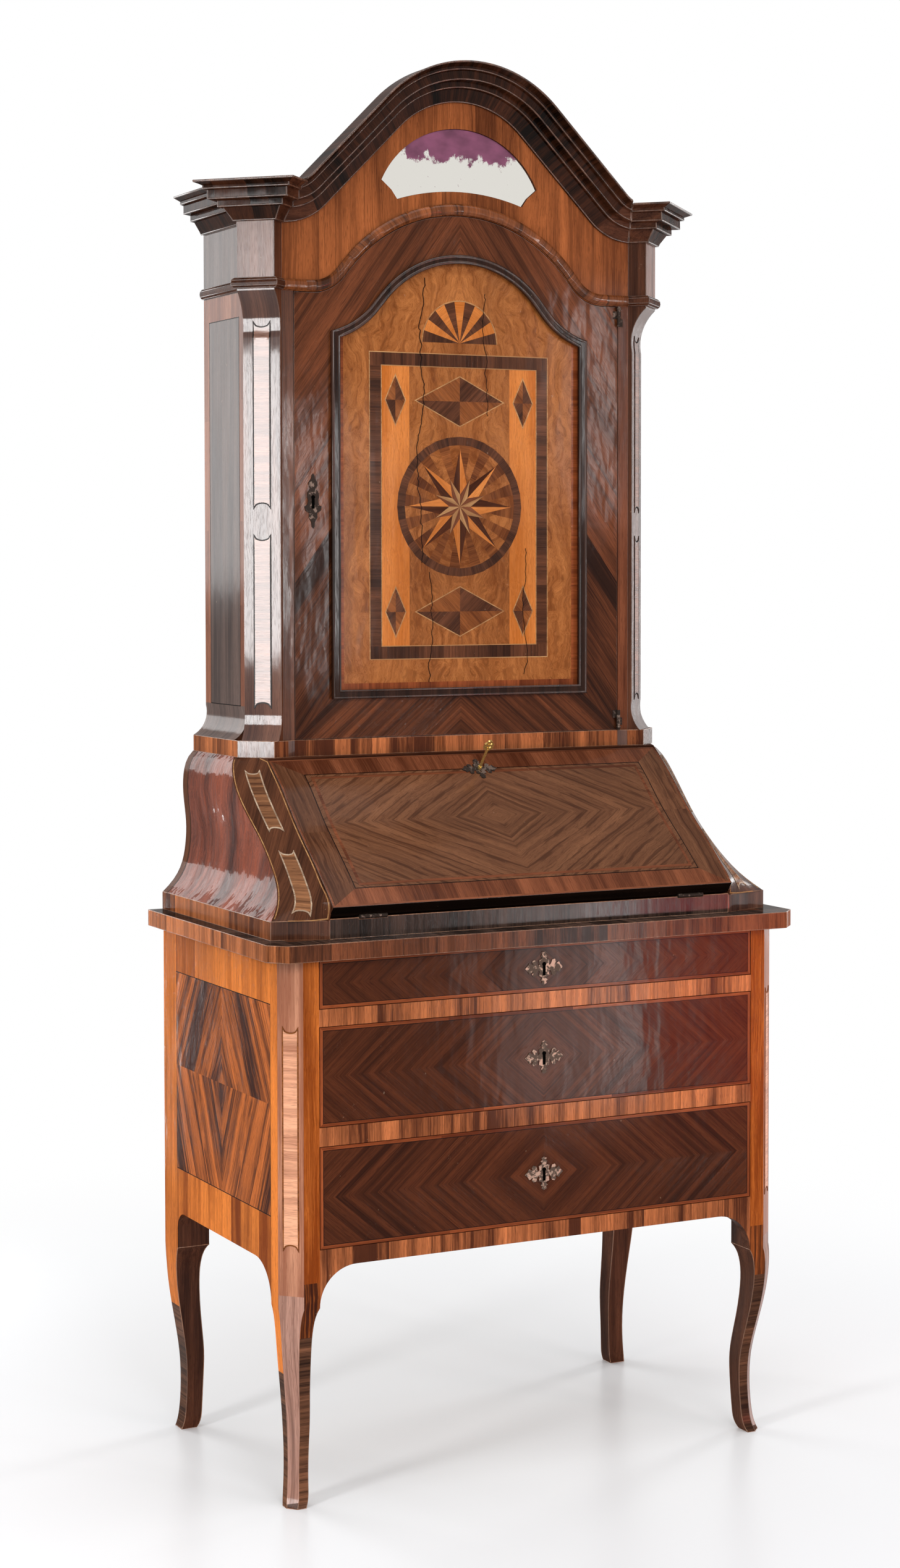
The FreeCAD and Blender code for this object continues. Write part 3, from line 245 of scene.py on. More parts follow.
soft_lamp("lamp_left", (-3.3, -1.25, 1.7), (-0.3, 0, 1.35), (0.5, 1.58), 18.5)
soft_lamp("card_back_left", (-1.7, 3.4, 2.15), (-0.4, 0, 1.5), (1.8, 1.5), 5.0)
soft_lamp("lamp_front", (-0.6, -4.8, 3.4), (0, 0, 1.2), (2.0, 1.6), 6.5)
soft_lamp("pane_low", (1.84, -3.5, 0.2), (0, 0, 0.6), (0.36, 0.7), 9)
soft_lamp("pane_edge", (2.1, -3.5, 0.2), (0, 0, 0.6), (0.13, 0.7), 24)
soft_lamp("pane_left", (1.37, -3.5, 1.55), (0, 0, 1.6), (0.09, 0.8), 40)
soft_lamp("pane_right", (2.33, -3.5, 1.98), (0, 0, 1.6), (0.11, 0.7), 36)
soft_lamp("red_cloth", (2.56, -3.4, 0.2), (0.3, 0, 0.6), (0.7, 0.7), 10, (1, 0.04, 0.06))
soft_lamp("slit_back", (-0.92, 1.74, 0.42), (-0.4, 0.4, 0.62), (0.05, 0.64), 24)
soft_lamp("slit_middle", (-0.92, 1.6, 0.55), (-0.4, 0.3, 0.7), (0.035, 0.36), 18)
soft_lamp("lamp_right", (3.3, 1.2, 1.5), (0.4, 0, 1.3), (0.6, 2.2), 7)
soft_lamp("lamp_above", (0.2, -0.6, 4.4), (0, 0, 1.5), (2.4, 2.0), 2.5)

# %% [markdown]
# ## Figured wood
# Wood is a bundle of fibres. Along the grain nothing changes fast, and across it
# everything does, so the same noise, stretched about fifty to one, gives growth
# bands, fibres and pores at three sizes. The group takes a place measured along
# the grain, across it and into the wood, and gives a colour and a height. A seed
# moves each leaf to another place in the same tree, and a tone makes it lighter or
# darker, as neighbouring leaves of one pack are.

# %% The wood group
SEED_SHIFT = (1.7, 0.43)
SWIRL_SCALE, ALONG_SCALE = 9.0, 1.6

tree, given, result = node_group("figured_wood", "Shader", [
    ("Grain", "Vector"), ("Seed", "Float", 0.0), ("Tone", "Float", 0.5),
    ("Dark", "Color", (0.02, 0.01, 0.005, 1)), ("Light", "Color", (0.2, 0.08, 0.04, 1)),
    ("Bands", "Float", 34.0), ("Lines", "Float", 0.5), ("Figure", "Float", 1.0),
    ("Curl", "Float", 0.0)], [("Color", "Color"), ("Height", "Float")])
along, into = (maths(tree, "MULTIPLY", given["Seed"], each) for each in SEED_SHIFT)
grain = vectors(tree, "ADD", given["Grain"],
                add(tree, "CombineXYZ", {0: along, 2: into}).outputs[0])
swirl = add(tree, "TexNoise", {"Vector": grain, "Scale": SWIRL_SCALE, "Detail": 3.0})
swirl = vectors(tree, "SUBTRACT", swirl.outputs["Color"], (0.5, 0.5, 0.5))
swirl = add(tree, "VectorMath", {0: swirl, "Scale": given["Curl"]}, operation="SCALE").outputs[0]
grain = vectors(tree, "ADD", grain, swirl)
spacing = add(tree, "CombineXYZ", {0: ALONG_SCALE, 1: given["Bands"], 2: given["Bands"]})
band = noise(tree, grain, spacing.outputs[0], 2.0, 0.55, 0.5)
fibre = noise(tree, grain, (9, 460, 460), 3.0, 0.65)
pore = noise(tree, grain, (60, 1500, 1500), 1.0)
cloud = noise(tree, grain, (5, 9, 9), 2.0, 0.5, 0.4)
vein = noise(tree, grain, (1.1, 150, 150), 2.0, 0.6, 0.3)

figure = maths(tree, "MULTIPLY_ADD", band, 0.5, maths(tree, "MULTIPLY", fibre, 0.3))
figure = maths(tree, "MULTIPLY_ADD", cloud, 0.2, figure)
figure = maths(tree, "SUBTRACT", figure, 0.5)
figure = maths(tree, "MULTIPLY", figure, maths(tree, "MULTIPLY", given["Figure"], 3.6))
share = add(tree, "Clamp", {0: maths(tree, "ADD", given["Tone"], figure)}).outputs[0]
plain = mixed(tree, share, given["Dark"], given["Light"])
line = maths(tree, "MULTIPLY", steps(tree, vein, 0.53, 0.62), given["Lines"])
pit = maths(tree, "MULTIPLY", steps(tree, pore, 0.56, 0.68), 0.5)
darker = mixed(tree, 1.0, given["Dark"], (0.55, 0.5, 0.48, 1), "MULTIPLY")
lined = mixed(tree, maths(tree, "MAXIMUM", line, pit), plain, darker)
tree.links.new(lined, result["Color"])
tree.links.new(maths(tree, "SUBTRACT", maths(tree, "MULTIPLY", fibre, 0.5), pit),
               result["Height"])
wood_tree = tree

# %% [markdown]
# ## Age
# Three hundred years of hands, cloths and knocks leave thin scratches, small pale
# bruises and a darker film in places. The group reads the place on the object, so
# the same wear runs over neighbouring leaves, as it does on a real surface. Old
# veneer has also moved with its ground, so its polish swells and cockles a little.
# That hardly shows by itself, but it breaks up every reflection.

# %% The wear group
SCRATCH_LINE = 0.0008

tree, given, result = node_group("old_polish", "Shader", [
    ("Color", "Color", (0.5, 0.5, 0.5, 1)), ("Place", "Vector"), ("Amount", "Float", 0.5)],
    [("Color", "Color"), ("Dull", "Float"), ("Ripple", "Float")])
place = given["Place"]
swell = noise(tree, place, (5, 5, 3.5), 1.0)
cockle = noise(tree, place, (34, 34, 13), 2.0, 0.45)
film = noise(tree, place, (3.1, 3.1, 2.3), 3.0, 0.6)
dust = noise(tree, place, (11, 11, 17), 4.0, 0.6)
slant = add(tree, "VectorRotate", {"Vector": place, "Rotation": (0.5, 0.3, 0.9)},
            rotation_type="EULER_XYZ").outputs[0]
scratch = noise(tree, slant, (7, 90, 60), 1.0, 0.5, 0.8)
scratch = maths(tree, "ABSOLUTE", maths(tree, "SUBTRACT", scratch, 0.5))
scratch = steps(tree, scratch, SCRATCH_LINE, 0.0, 0, 1)
rare = steps(tree, noise(tree, place, (14, 14, 14), 1.0), 0.6, 0.68)
scratch = maths(tree, "MULTIPLY", scratch, rare)
bruise = steps(tree, noise(tree, place, (170, 170, 120), 1.0), 0.8, 0.84)
mark = maths(tree, "MULTIPLY", maths(tree, "MAXIMUM", scratch, bruise), given["Amount"])
filmed = mixed(tree, steps(tree, film, 0.42, 0.72, 0, 0.34), given["Color"], sRGB(40, 24, 16))
marked = mixed(tree, maths(tree, "MULTIPLY", mark, 0.5), filmed, sRGB(188, 158, 130))
tree.links.new(marked, result["Color"])
tree.links.new(maths(tree, "MULTIPLY_ADD", mark, 0.6, steps(tree, dust, 0.35, 0.7)),
               result["Dull"])
tree.links.new(maths(tree, "MULTIPLY_ADD", cockle, 0.22, swell), result["Ripple"])
wear_tree = tree
print("groups", [group.name for group in bpy.data.node_groups])

# %% [markdown]
# ## Woods
# Each wood is the same two groups with its own colours. A leaf of veneer reads its
# own grain map, tone and seed. A solid board has no map, so its grain runs along
# one axis of the object. The finish is shellac and wax: a thin glossy coat over a
# base that is a little rough.

# %% Make the woods
DULL_SPAN = 0.14
PORE_RELIEF, COAT_RELIEF = (0.25, 0.0004), (0.5, 0.00005)


def wood(name, dark, light, axis=None, bands=34.0, lines=0.4, figure=1.0, rough=0.3,
         polish=0.12, gloss=0.12, ripple=0.0015, wear=0.5, curl=0.0):
    """A wood finish. With an axis the grain runs through the solid, else by leaf."""
    made, tree = new_material(name)
    place = add(tree, "TexCoord").outputs["Object"]
    if axis:
        x, y, z = add(tree, "SeparateXYZ", {0: place}).outputs
        order = {"X": (x, y, z), "Y": (y, z, x), "Z": (z, x, y)}[axis]
        grain = add(tree, "CombineXYZ", dict(enumerate(order))).outputs[0]
        seed, tone = 0.0, 0.5
    else:
        grain = add(tree, "UVMap", uv_map="grain").outputs[0]
        seed, tone = (add(tree, "Attribute", attribute_name=each).outputs["Fac"]
                      for each in ("seed", "tone"))
    figured = add(tree, "Group", {
        "Grain": grain, "Seed": seed, "Tone": tone, "Dark": sRGB(*dark), "Light": sRGB(*light),
        "Bands": bands, "Lines": lines, "Figure": figure, "Curl": curl},
        node_tree=wood_tree).outputs
    aged = add(tree, "Group", {"Color": figured["Color"], "Place": place, "Amount": wear},
               node_tree=wear_tree).outputs
    swollen = add(tree, "Bump", {"Strength": 1.0, "Distance": ripple, "Height": aged["Ripple"]})
    pores, skin = (add(tree, "Bump", {"Strength": strength, "Distance": distance,
                                      "Height": figured["Height"], "Normal": swollen.outputs[0]})
                   for strength, distance in (PORE_RELIEF, COAT_RELIEF))
    surface(tree, {
        "Base Color": aged["Color"], "Normal": pores.outputs[0], "Coat Normal": skin.outputs[0],
        "Roughness": maths(tree, "MULTIPLY_ADD", aged["Dull"], DULL_SPAN, rough),
        "Specular IOR Level": 0.0 if polish else 0.2, "Coat Weight": polish,
        "Coat Roughness": gloss})
    return made


ROSEWOOD = wood("rosewood", (40, 17, 9), (100, 52, 29), bands=60, lines=0.4, figure=0.7,
                gloss=0.09, ripple=0.002)
RED_BAND = wood("red_band", (92, 40, 18), (158, 82, 44), bands=60, lines=0.3)
WALNUT_DARK = wood("walnut_dark", (54, 30, 19), (116, 70, 46), bands=30, lines=0.45)
WALNUT_FALL = wood("walnut_fall", (72, 42, 28), (134, 90, 62), bands=62, lines=0.6, figure=0.55,
                   curl=0.018)
WALNUT_RED = wood("walnut_red", (78, 40, 24), (140, 82, 54), bands=36, lines=0.3)
KINGWOOD = wood("kingwood", (80, 40, 22), (208, 124, 74), bands=52, lines=0.35, curl=0.008)
KINGWOOD_DARK = wood("kingwood_dark", (46, 27, 19), (132, 76, 48), bands=52, lines=0.35,
                     curl=0.008)
WALNUT_SIDE = wood("walnut_side", (62, 24, 6), (206, 110, 46), bands=44, lines=0.7, figure=1.4,
                   curl=0.012, polish=0.16, gloss=0.1, ripple=0.003)
WALNUT_GOLD = wood("walnut_gold", (132, 60, 16), (244, 140, 60), bands=28, lines=0.3, figure=0.9,
                   curl=0.012, polish=0.1, gloss=0.1, ripple=0.003)
# Field wood for the canted corners. Its paleness is partly the wood and partly painted highlight,
# the light that the corners catch.
FIELD_PINK_PAINTED_HIGHLIGHT = wood("field_pink_painted_highlight", (164, 102, 74), (252, 184, 146), bands=60, lines=0.2, polish=0.5)
PILLAR = wood("pillar_walnut", (62, 34, 26), (122, 80, 62), bands=34, lines=0.3, polish=0.9,
              gloss=0.08, ripple=0.002)
PILLAR_FIELD = wood("pillar_field", (104, 64, 48), (176, 122, 98), bands=70, lines=0.3,
                    polish=0.9, gloss=0.08, ripple=0.002)
REDWOOD = wood("redwood", (66, 26, 14), (156, 76, 48), bands=16, lines=0.25, figure=1.3,
               curl=0.06, polish=0.3, gloss=0.05, ripple=0.013)
GREYED = wood("greyed_walnut", (58, 42, 37), (112, 88, 78), bands=34, lines=0.4, polish=0.33,
              ripple=0.0025)
TYMPAN = wood("warm_walnut", (88, 44, 20), (184, 106, 58), bands=22, lines=0.35, curl=0.01)
EBONY = wood("black_string", (12, 8, 6), (30, 20, 14), bands=90, lines=0.2)
LIGHT_STRING = wood("light_string", (150, 104, 64), (206, 160, 108), bands=90, lines=0.2, wear=0.2)
# A pale wood for the line round the desk fields: a painted highlight of the light on their edges.
PALE_EDGE_PAINTED_HIGHLIGHT = wood("pale_edge_painted_highlight", (134, 108, 88), (202, 176, 150), bands=90, lines=0.5, wear=0.2)
CORNICE = wood("cornice_wood", (14, 7, 4), (74, 40, 24), bands=60, lines=0.4, polish=0.18,
               gloss=0.08, curl=0.006)
LEDGE_WOOD = wood("ledge_walnut", (26, 18, 14), (88, 66, 56), bands=90, lines=0.4, polish=0.25)
STRIP_FIELD = wood("strip_field", (84, 52, 34), (164, 112, 76), bands=150, lines=0.4)
CAB_BAND = wood("cabinet_band", (112, 62, 42), (176, 114, 84), bands=30, lines=0.25, polish=0.25,
                ripple=0.0025)
WALNUT_DOOR = wood("door_walnut", (42, 21, 12), (132, 74, 44), bands=34, lines=0.5, figure=0.9,
                   polish=0.16, gloss=0.09, ripple=0.0028)
WALNUT_WARM = wood("walnut_warm", (92, 46, 20), (164, 98, 52), bands=40, lines=0.4)
FRIEZE_WOOD = wood("frieze_walnut", (66, 36, 20), (158, 90, 50), bands=60, lines=0.3, polish=0.3,
                   gloss=0.08)
# Leg veneer for the canted corners below the joint. It is pale partly as a painted reflection of
# the white floor.
LEG_VENEER_PAINTED_REFLECTION = wood("leg_veneer_painted_reflection", (124, 84, 70), (208, 158, 138), bands=80, lines=0.4, polish=0.5)
PILLAR_HEAD = wood("pillar_head", (92, 58, 46), (160, 114, 96), bands=60, lines=0.3, polish=0.45,
                   ripple=0.003)
STILE_WOOD = wood("stile_walnut", (58, 32, 21), (116, 70, 48), bands=30, lines=0.45, polish=0.5,
                  ripple=0.003)
LEG_BLOCK = wood("leg_block", (44, 27, 18), (124, 82, 58), bands=110, lines=0.5)
BURR = wood("walnut_burr", (126, 68, 28), (192, 122, 66), bands=60, lines=0.35, curl=0.12)
ORANGE = wood("orange_satin", (186, 102, 36), (230, 146, 76), bands=22, lines=0.15, curl=0.02)

PINE_BOARD = wood("pine_board", (126, 94, 62), (196, 160, 114), bands=22, lines=0.25, rough=0.55,
                  polish=0.0, wear=0.9)
PINE, OAK, DARK_SOLID = ({axis: wood(f"{name}_{axis.lower()}", dark, light, axis=axis, **look)
                          for axis in "XYZ"} for name, dark, light, look in (
    ("pine", (150, 112, 74), (196, 160, 114),
     dict(bands=22, lines=0.2, rough=0.55, polish=0.0, wear=0.8)),
    ("oak", (124, 92, 58), (172, 136, 92),
     dict(bands=60, lines=0.3, rough=0.5, polish=0.0, wear=0.8)),
    ("dark_solid", (48, 26, 18), (106, 64, 44), {})))
SLOT_WOODS = {"veneer_dark": DARK_SOLID, "veneer_mid": DARK_SOLID, "veneer_gold": DARK_SOLID,
              "carcase_pine": PINE, "drawer_oak": OAK}
print("woods", len(bpy.data.materials))

# %% [markdown]
# ## Laying veneer
# Veneer is sawn in thin leaves, cut to a pattern on paper and glued down. This is
# done here the same way. A *ground* is a copy of the carcase's faces that look one
# way, with flat measures across and up. A *leaf* is a straight-sided shape drawn
# in those measures, with its wood and the direction of its grain. Laying cuts the
# ground along the leaf's sides, so that a leaf follows any curve under it and
# stops where the carcase stops. Each leaf is closed, with its own thickness.

# %% Grounds and leaves
LEAF_PROUD = 0.0003
LEAF_THICK = 0.0009
SMOOTH_UNDER = math.radians(34)
SEEDS = 40
WELD, LEAF_WELD, SLIVER = 1e-5, 4e-6, 1e-10
CUT_WITHIN, NO_LENGTH = 1e-6, 1e-7
FACING, SQUARE_ON = 0.9, 0.95
UP, FRONT, BACKWARD = Vector((0, 0, 1)), Vector((0, -1, 0)), Vector((0, 1, 0))
SIDES = (("left", (-1, 0, 0), -1), ("right", (1, 0, 0), 1))
CORNERS = (("left", (-1, -1, 0), -1), ("right", (1, -1, 0), 1))


@dataclass
class Leaf:
    """A veneer leaf: convex outlines in flat measures, wood, grain angle and look."""
    parts: list
    wood: object
    grain: float = 0.0
    tone: float = 0.5
    seed: float = 0.0
    flip: int = 1
    pin: tuple = (0.0, 0.0)
    proud: float = 0.0


class Ground:
    """The faces of a node that look one way, to be cut in flat measures."""

    def __init__(self, name, out, up=UP, keep=None, limit=FACING):
        self.out = Vector(out).normalized()
        self.across = Vector(up).cross(self.out).normalized()
        self.up = self.out.cross(self.across).normalized()
        self.sheet = bmesh.new()
        self.sheet.from_mesh(nodes[name].data)
        bmesh.ops.remove_doubles(self.sheet, verts=self.sheet.verts, dist=WELD)
        self.sheet.normal_update()
        unwanted = [face for face in self.sheet.faces if face.normal.dot(self.out) < limit
                    or (keep and not keep(face.calc_center_median(), face.normal))]
        bmesh.ops.delete(self.sheet, geom=unwanted, context="FACES")
        flat = [self.flat(vert.co) for vert in self.sheet.verts] or [(0.0, 0.0)]
        self.box = tuple(pick(p[line] for p in flat) for pick in (min, max) for line in (0, 1))

    def flat(self, place):
        return (place.dot(self.across), place.dot(self.up))

    def cut(self, outline):
        """A copy of the ground inside a convex outline drawn anticlockwise."""
        piece = self.sheet.copy()
        for (a, b), (c, d) in zip(outline, outline[1:] + outline[:1]):
            side = self.across * (d - b) - self.up * (c - a)
            if side.length > NO_LENGTH:
                bmesh.ops.bisect_plane(
                    piece, geom=piece.verts[:] + piece.edges[:] + piece.faces[:],
                    dist=CUT_WITHIN, plane_co=self.across * a + self.up * b, plane_no=side,
                    clear_outer=True)
        return piece


def turned_right(outline):
    """The outline drawn anticlockwise."""
    pairs = zip(outline, outline[1:] + outline[:1])
    area = sum(a * d - c * b for (a, b), (c, d) in pairs)
    return outline if area > 0 else outline[::-1]


def piece_of(name, data, body):
    """A piece that shows: its object, and the body it rides on."""
    piece = linked(name, data)
    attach(piece, body)


def lay(name, ground, leaves, body="carcase", measure=None):
    """One object of closed leaves, laid on a ground."""
    woods = []
    corners, faces, wood_of, map_of, tone_of, seed_of = [], [], [], [], [], []
    for leaf in leaves:
        if leaf.wood not in woods:
            woods.append(leaf.wood)
        sheet = bmesh.new()
        for part in leaf.parts:
            piece = ground.cut(turned_right(part))
            mesh = bpy.data.meshes.new("cut")
            piece.to_mesh(mesh)
            piece.free()
            sheet.from_mesh(mesh)
            bpy.data.meshes.remove(mesh)
        bmesh.ops.remove_doubles(sheet, verts=sheet.verts, dist=LEAF_WELD)
        thin = [face for face in sheet.faces if face.calc_area() < SLIVER]
        bmesh.ops.delete(sheet, geom=thin, context="FACES")
        if not sheet.faces:
            sheet.free()
            continue
        sheet.normal_update()
        sheet.verts.index_update()
        first, count = len(corners), len(sheet.verts)
        turn = math.radians(leaf.grain)
        flat_map = []
        for vert in sheet.verts:
            a, b = measure(ground, vert.co, leaf) if measure else ground.flat(vert.co)
            a, b = a - leaf.pin[0], b - leaf.pin[1]
            flat_map.append((a * math.cos(turn) + b * math.sin(turn),
                             (b * math.cos(turn) - a * math.sin(turn)) * leaf.flip))
        for lift in (LEAF_PROUD + leaf.proud, LEAF_PROUD - LEAF_THICK):
            corners += [vert.co + vert.normal * lift for vert in sheet.verts]
        flat_map += flat_map
        rings = []
        for face in sheet.faces:
            ring = [vert.index for vert in face.verts]
            rings += [ring, [i + count for i in reversed(ring)]]
            for loop in face.loops:
                if len(loop.edge.link_faces) == 1:
                    i, j = loop.vert.index, loop.link_loop_next.vert.index
                    rings.append([i + count, j + count, j, i])
        for ring in rings:
            faces.append([first + i for i in ring])
            wood_of.append(woods.index(leaf.wood))
            map_of += [flat_map[i] for i in ring]
        tone_of += [leaf.tone] * (2 * count)
        seed_of += [leaf.seed] * (2 * count)
        sheet.free()
    data = bpy.data.meshes.new(name)
    data.from_pydata(corners, [], faces)
    for made in woods:
        data.materials.append(made)
    data.polygons.foreach_set("material_index", wood_of)
    data.shade_smooth()
    data.set_sharp_from_angle(angle=SMOOTH_UNDER)
    data.uv_layers.new(name="grain").data.foreach_set("uv", [v for pair in map_of for v in pair])
    for label, values in (("tone", tone_of), ("seed", seed_of)):
        data.attributes.new(label, "FLOAT", "POINT").data.foreach_set("value", values)
    piece_of(name, data, body)
    print(name, len(leaves), "leaves", len(faces), "faces")


# %% [markdown]
# ## Patterns
# Three patterns make nearly all of the piece. *Cross-banding* is a row of short
# blocks with their grain across the band. A *matched sheet* is a row of leaves
# that run with the grain. A *diamond match* is one matched sheet mirrored about
# two lines, so that its grain closes into diamonds. Thin *strings* cover the
# joints between them.

# %% Pattern helpers
LAST_BLOCK = 0.7
STRING_PROUD, FINE_LINE, THIN_LINE = 0.0001, 0.0014, 0.0016
SAME_POINT, SHARP_TURN = 1e-9, 0.4


def box_outline(a0, b0, a1, b1):
    return [(a0, b0), (a1, b0), (a1, b1), (a0, b1)]


def trimmed(outline, point, away):
    """What is left of a convex outline on the near side of a line."""
    kept = []
    for (a, b), (c, d) in zip(outline, outline[1:] + outline[:1]):
        here = (a - point[0]) * away[0] + (b - point[1]) * away[1]
        there = (c - point[0]) * away[0] + (d - point[1]) * away[1]
        if here <= 0:
            kept.append((a, b))
        if here * there < 0:
            t = here / (here - there)
            kept.append((a + (c - a) * t, b + (d - b) * t))
    return kept


def chance_leaf(outline, wood, grain, tones):
    return Leaf([outline], wood, grain, chance.uniform(*tones), chance.random() * SEEDS)


def banding(outline, wood, widths, along="a", grain=None, tones=(0.1, 0.9)):
    """Blocks across a straight band, of chance widths and tones."""
    line, away = (0, (1, 0)) if along == "a" else (1, (0, 1))
    grain = (90, 0)[line] if grain is None else grain
    place, end = min(p[line] for p in outline), max(p[line] for p in outline)
    rest, leaves = outline, []
    while len(rest) > 2:
        place += chance.uniform(*widths)
        if end - place < widths[0] * LAST_BLOCK:
            place = end + 1
        cut = (away[0] * place, away[1] * place)
        block = trimmed(rest, cut, away)
        rest = trimmed(rest, cut, (-away[0], -away[1]))
        if len(block) > 2:
            leaves.append(chance_leaf(block, wood, grain, tones))
        if place > end:
            break
    return leaves


def matched(outline, wood, grain, widths, tones=(0.25, 0.75)):
    """Leaves side by side that run along the grain."""
    turn = math.radians(grain)
    side = (-math.sin(turn), math.cos(turn))
    reach = [a * side[0] + b * side[1] for a, b in outline]
    place, rest, leaves = min(reach), outline, []
    while place < max(reach) and len(rest) > 2:
        place += chance.uniform(*widths)
        cut = (side[0] * place, side[1] * place)
        strip = trimmed(rest, cut, side)
        rest = trimmed(rest, cut, (-side[0], -side[1]))
        if len(strip) > 2:
            leaves.append(chance_leaf(strip, wood, grain, tones))
    return leaves


def mirrored(leaves, a=None, b=None):
    """The same leaves turned over about an upright line a or a level line b."""
    def over(p):
        return (2 * a - p[0], p[1]) if a is not None else (p[0], 2 * b - p[1])
    return [replace(leaf, parts=[[over(p) for p in part] for part in leaf.parts],
                    grain=180 - leaf.grain if a is not None else -leaf.grain,
                    flip=-leaf.flip, pin=over(leaf.pin)) for leaf in leaves]


def diamond(box, wood, grain, widths, tones, centre=None):
    """A diamond match inside a box: one quarter, and its three mirrored copies."""
    a0, b0, a1, b1 = box
    ca, cb = centre or ((a0 + a1) / 2, (b0 + b1) / 2)
    reach_a, reach_b = max(ca - a0, a1 - ca), max(cb - b0, b1 - cb)
    quarter = matched(box_outline(ca - reach_a, cb, ca, cb + reach_b), wood, grain, widths, tones)
    half = quarter + mirrored(quarter, a=ca)
    sides = (((a0, 0), (-1, 0)), ((a1, 0), (1, 0)), ((0, b0), (0, -1)), ((0, b1), (0, 1)))
    kept = []
    for leaf in half + mirrored(half, b=cb):
        outline = leaf.parts[0]
        for point, away in sides:
            outline = trimmed(outline, point, away) if len(outline) > 2 else []
        if len(outline) > 2:
            kept.append(replace(leaf, parts=[outline]))
    return kept


def string(points, width, wood, closed=False, proud=STRING_PROUD, tone=0.5):
    """A thin line of wood let in along a run of points, with mitred turns."""
    count = len(points)
    sides = []
    for i, point in enumerate(points):
        before = points[i - 1] if i or closed else point
        after = points[(i + 1) % count] if i + 1 < count or closed else point
        turns = []
        for start, end in ((before, point), (point, after)):
            run = Vector((end[0] - start[0], end[1] - start[1]))
            if run.length > SAME_POINT:
                turns.append(Vector((-run.y, run.x)).normalized())
        normal = sum(turns, Vector((0, 0))).normalized()
        reach = width / 2 / max(SHARP_TURN, normal.dot(turns[0]))
        sides.append(((point[0] + normal.x * reach, point[1] + normal.y * reach),
                      (point[0] - normal.x * reach, point[1] - normal.y * reach)))
    last = count if closed else count - 1
    parts = [[sides[i][0], sides[i][1], sides[(i + 1) % count][1], sides[(i + 1) % count][0]]
             for i in range(last)]
    return Leaf(parts, wood, 0, tone, proud=proud)


def box_string(box, width, wood, proud=STRING_PROUD):
    return string(box_outline(*box), width, wood, closed=True, proud=proud)


def inset(box, side, foot, head):
    return box[0] + side, box[1] + foot, box[2] - side, box[3] - head


def mitred(outer, inner):
    """The four strips between two boxes, mitred: foot, head, left and right."""
    (a0, b0, a1, b1), (i0, j0, i1, j1) = outer, inner
    return ([(a0, b0), (a1, b0), (i1, j0), (i0, j0)], [(a0, b1), (i0, j1), (i1, j1), (a1, b1)],
            [(a0, b0), (i0, j0), (i0, j1), (a0, b1)], [(a1, b0), (a1, b1), (i1, j1), (i1, j0)])


def lifted(leaves, proud):
    return [replace(leaf, proud=proud) for leaf in leaves]


def cross_band(name, node, out, wood, widths, tones, slot="veneer_dark", **facing):
    """Cross-banding over all the faces of a node that look one way."""
    ground = Ground(node, out, **facing)
    lay(name, ground, banding(box_outline(*ground.box), wood, widths, tones=tones))


# %% [markdown]
# ## Drawer fronts
# Each drawer front is a diamond match of dark rosewood inside a narrow band of
# redder wood, with a thin line between them. The leaves of the four quarters come
# from one pack, so their stripes meet at the two middle lines.

# %% Veneer the drawers
DRAWER_BAND = 0.0055
DRAWER_GRAIN = 41
DRAWERS = ("top", "middle", "bottom")
chance = random.Random(7)
for drawer, widths in zip(DRAWERS, ((0.014, 0.034), (0.016, 0.04), (0.02, 0.05))):
    face = Ground(drawer + "_drawer_front", FRONT)
    inner = inset(face.box, DRAWER_BAND, DRAWER_BAND, DRAWER_BAND)
    foot, head, left, right = mitred(face.box, inner)
    leaves = diamond(inner, ROSEWOOD, DRAWER_GRAIN, widths, (0.42, 0.58))
    for strip in (foot, head):
        leaves += banding(strip, RED_BAND, (0.2, 0.3), grain=0)
    leaves += [Leaf([left], RED_BAND, 90, 0.5, 3), Leaf([right], RED_BAND, 90, 0.5, 5),
               box_string(inner, 0.001, EBONY)]
    lay(drawer + "_drawer_veneer", face, leaves, body=drawer + "_drawer")

# %% [markdown]
# ## Rails, posts and side panels
# The rails between the drawers are cross-banded: their blocks stand on end, and
# change from orange to nearly black within a hand's width. The posts show long
# golden grain down to the knee, where darker blocks begin. Each side is two steep
# matches, one over the other, between two cross-banded bands.

# %% Veneer the chest
KNEE_JOINT, POST_KNEE, POST_TURN = 0.215, 0.275, 0.36
SIDE_BAND_TOP, SIDE_HEART, SIDE_BAND_LOW = 0.79, 0.633, 0.458
LOWER_GRAIN, UPPER_GRAIN = -66, 60
RIGHT_LEAF_TONE = 0.16
chance = random.Random(11)


def leg_blocks(box, tones):
    return banding(box_outline(*box), LEG_BLOCK, (0.03, 0.075), along="b", tones=tones)


for rail in ("drawer_rail_upper", "drawer_rail_lower"):
    cross_band(rail + "_veneer", rail, FRONT, KINGWOOD, (0.012, 0.07), (0.15, 0.85))
cross_band("apron_veneer", "front_apron", FRONT, KINGWOOD, (0.02, 0.08), (0.05, 0.6),
           slot="veneer_mid")

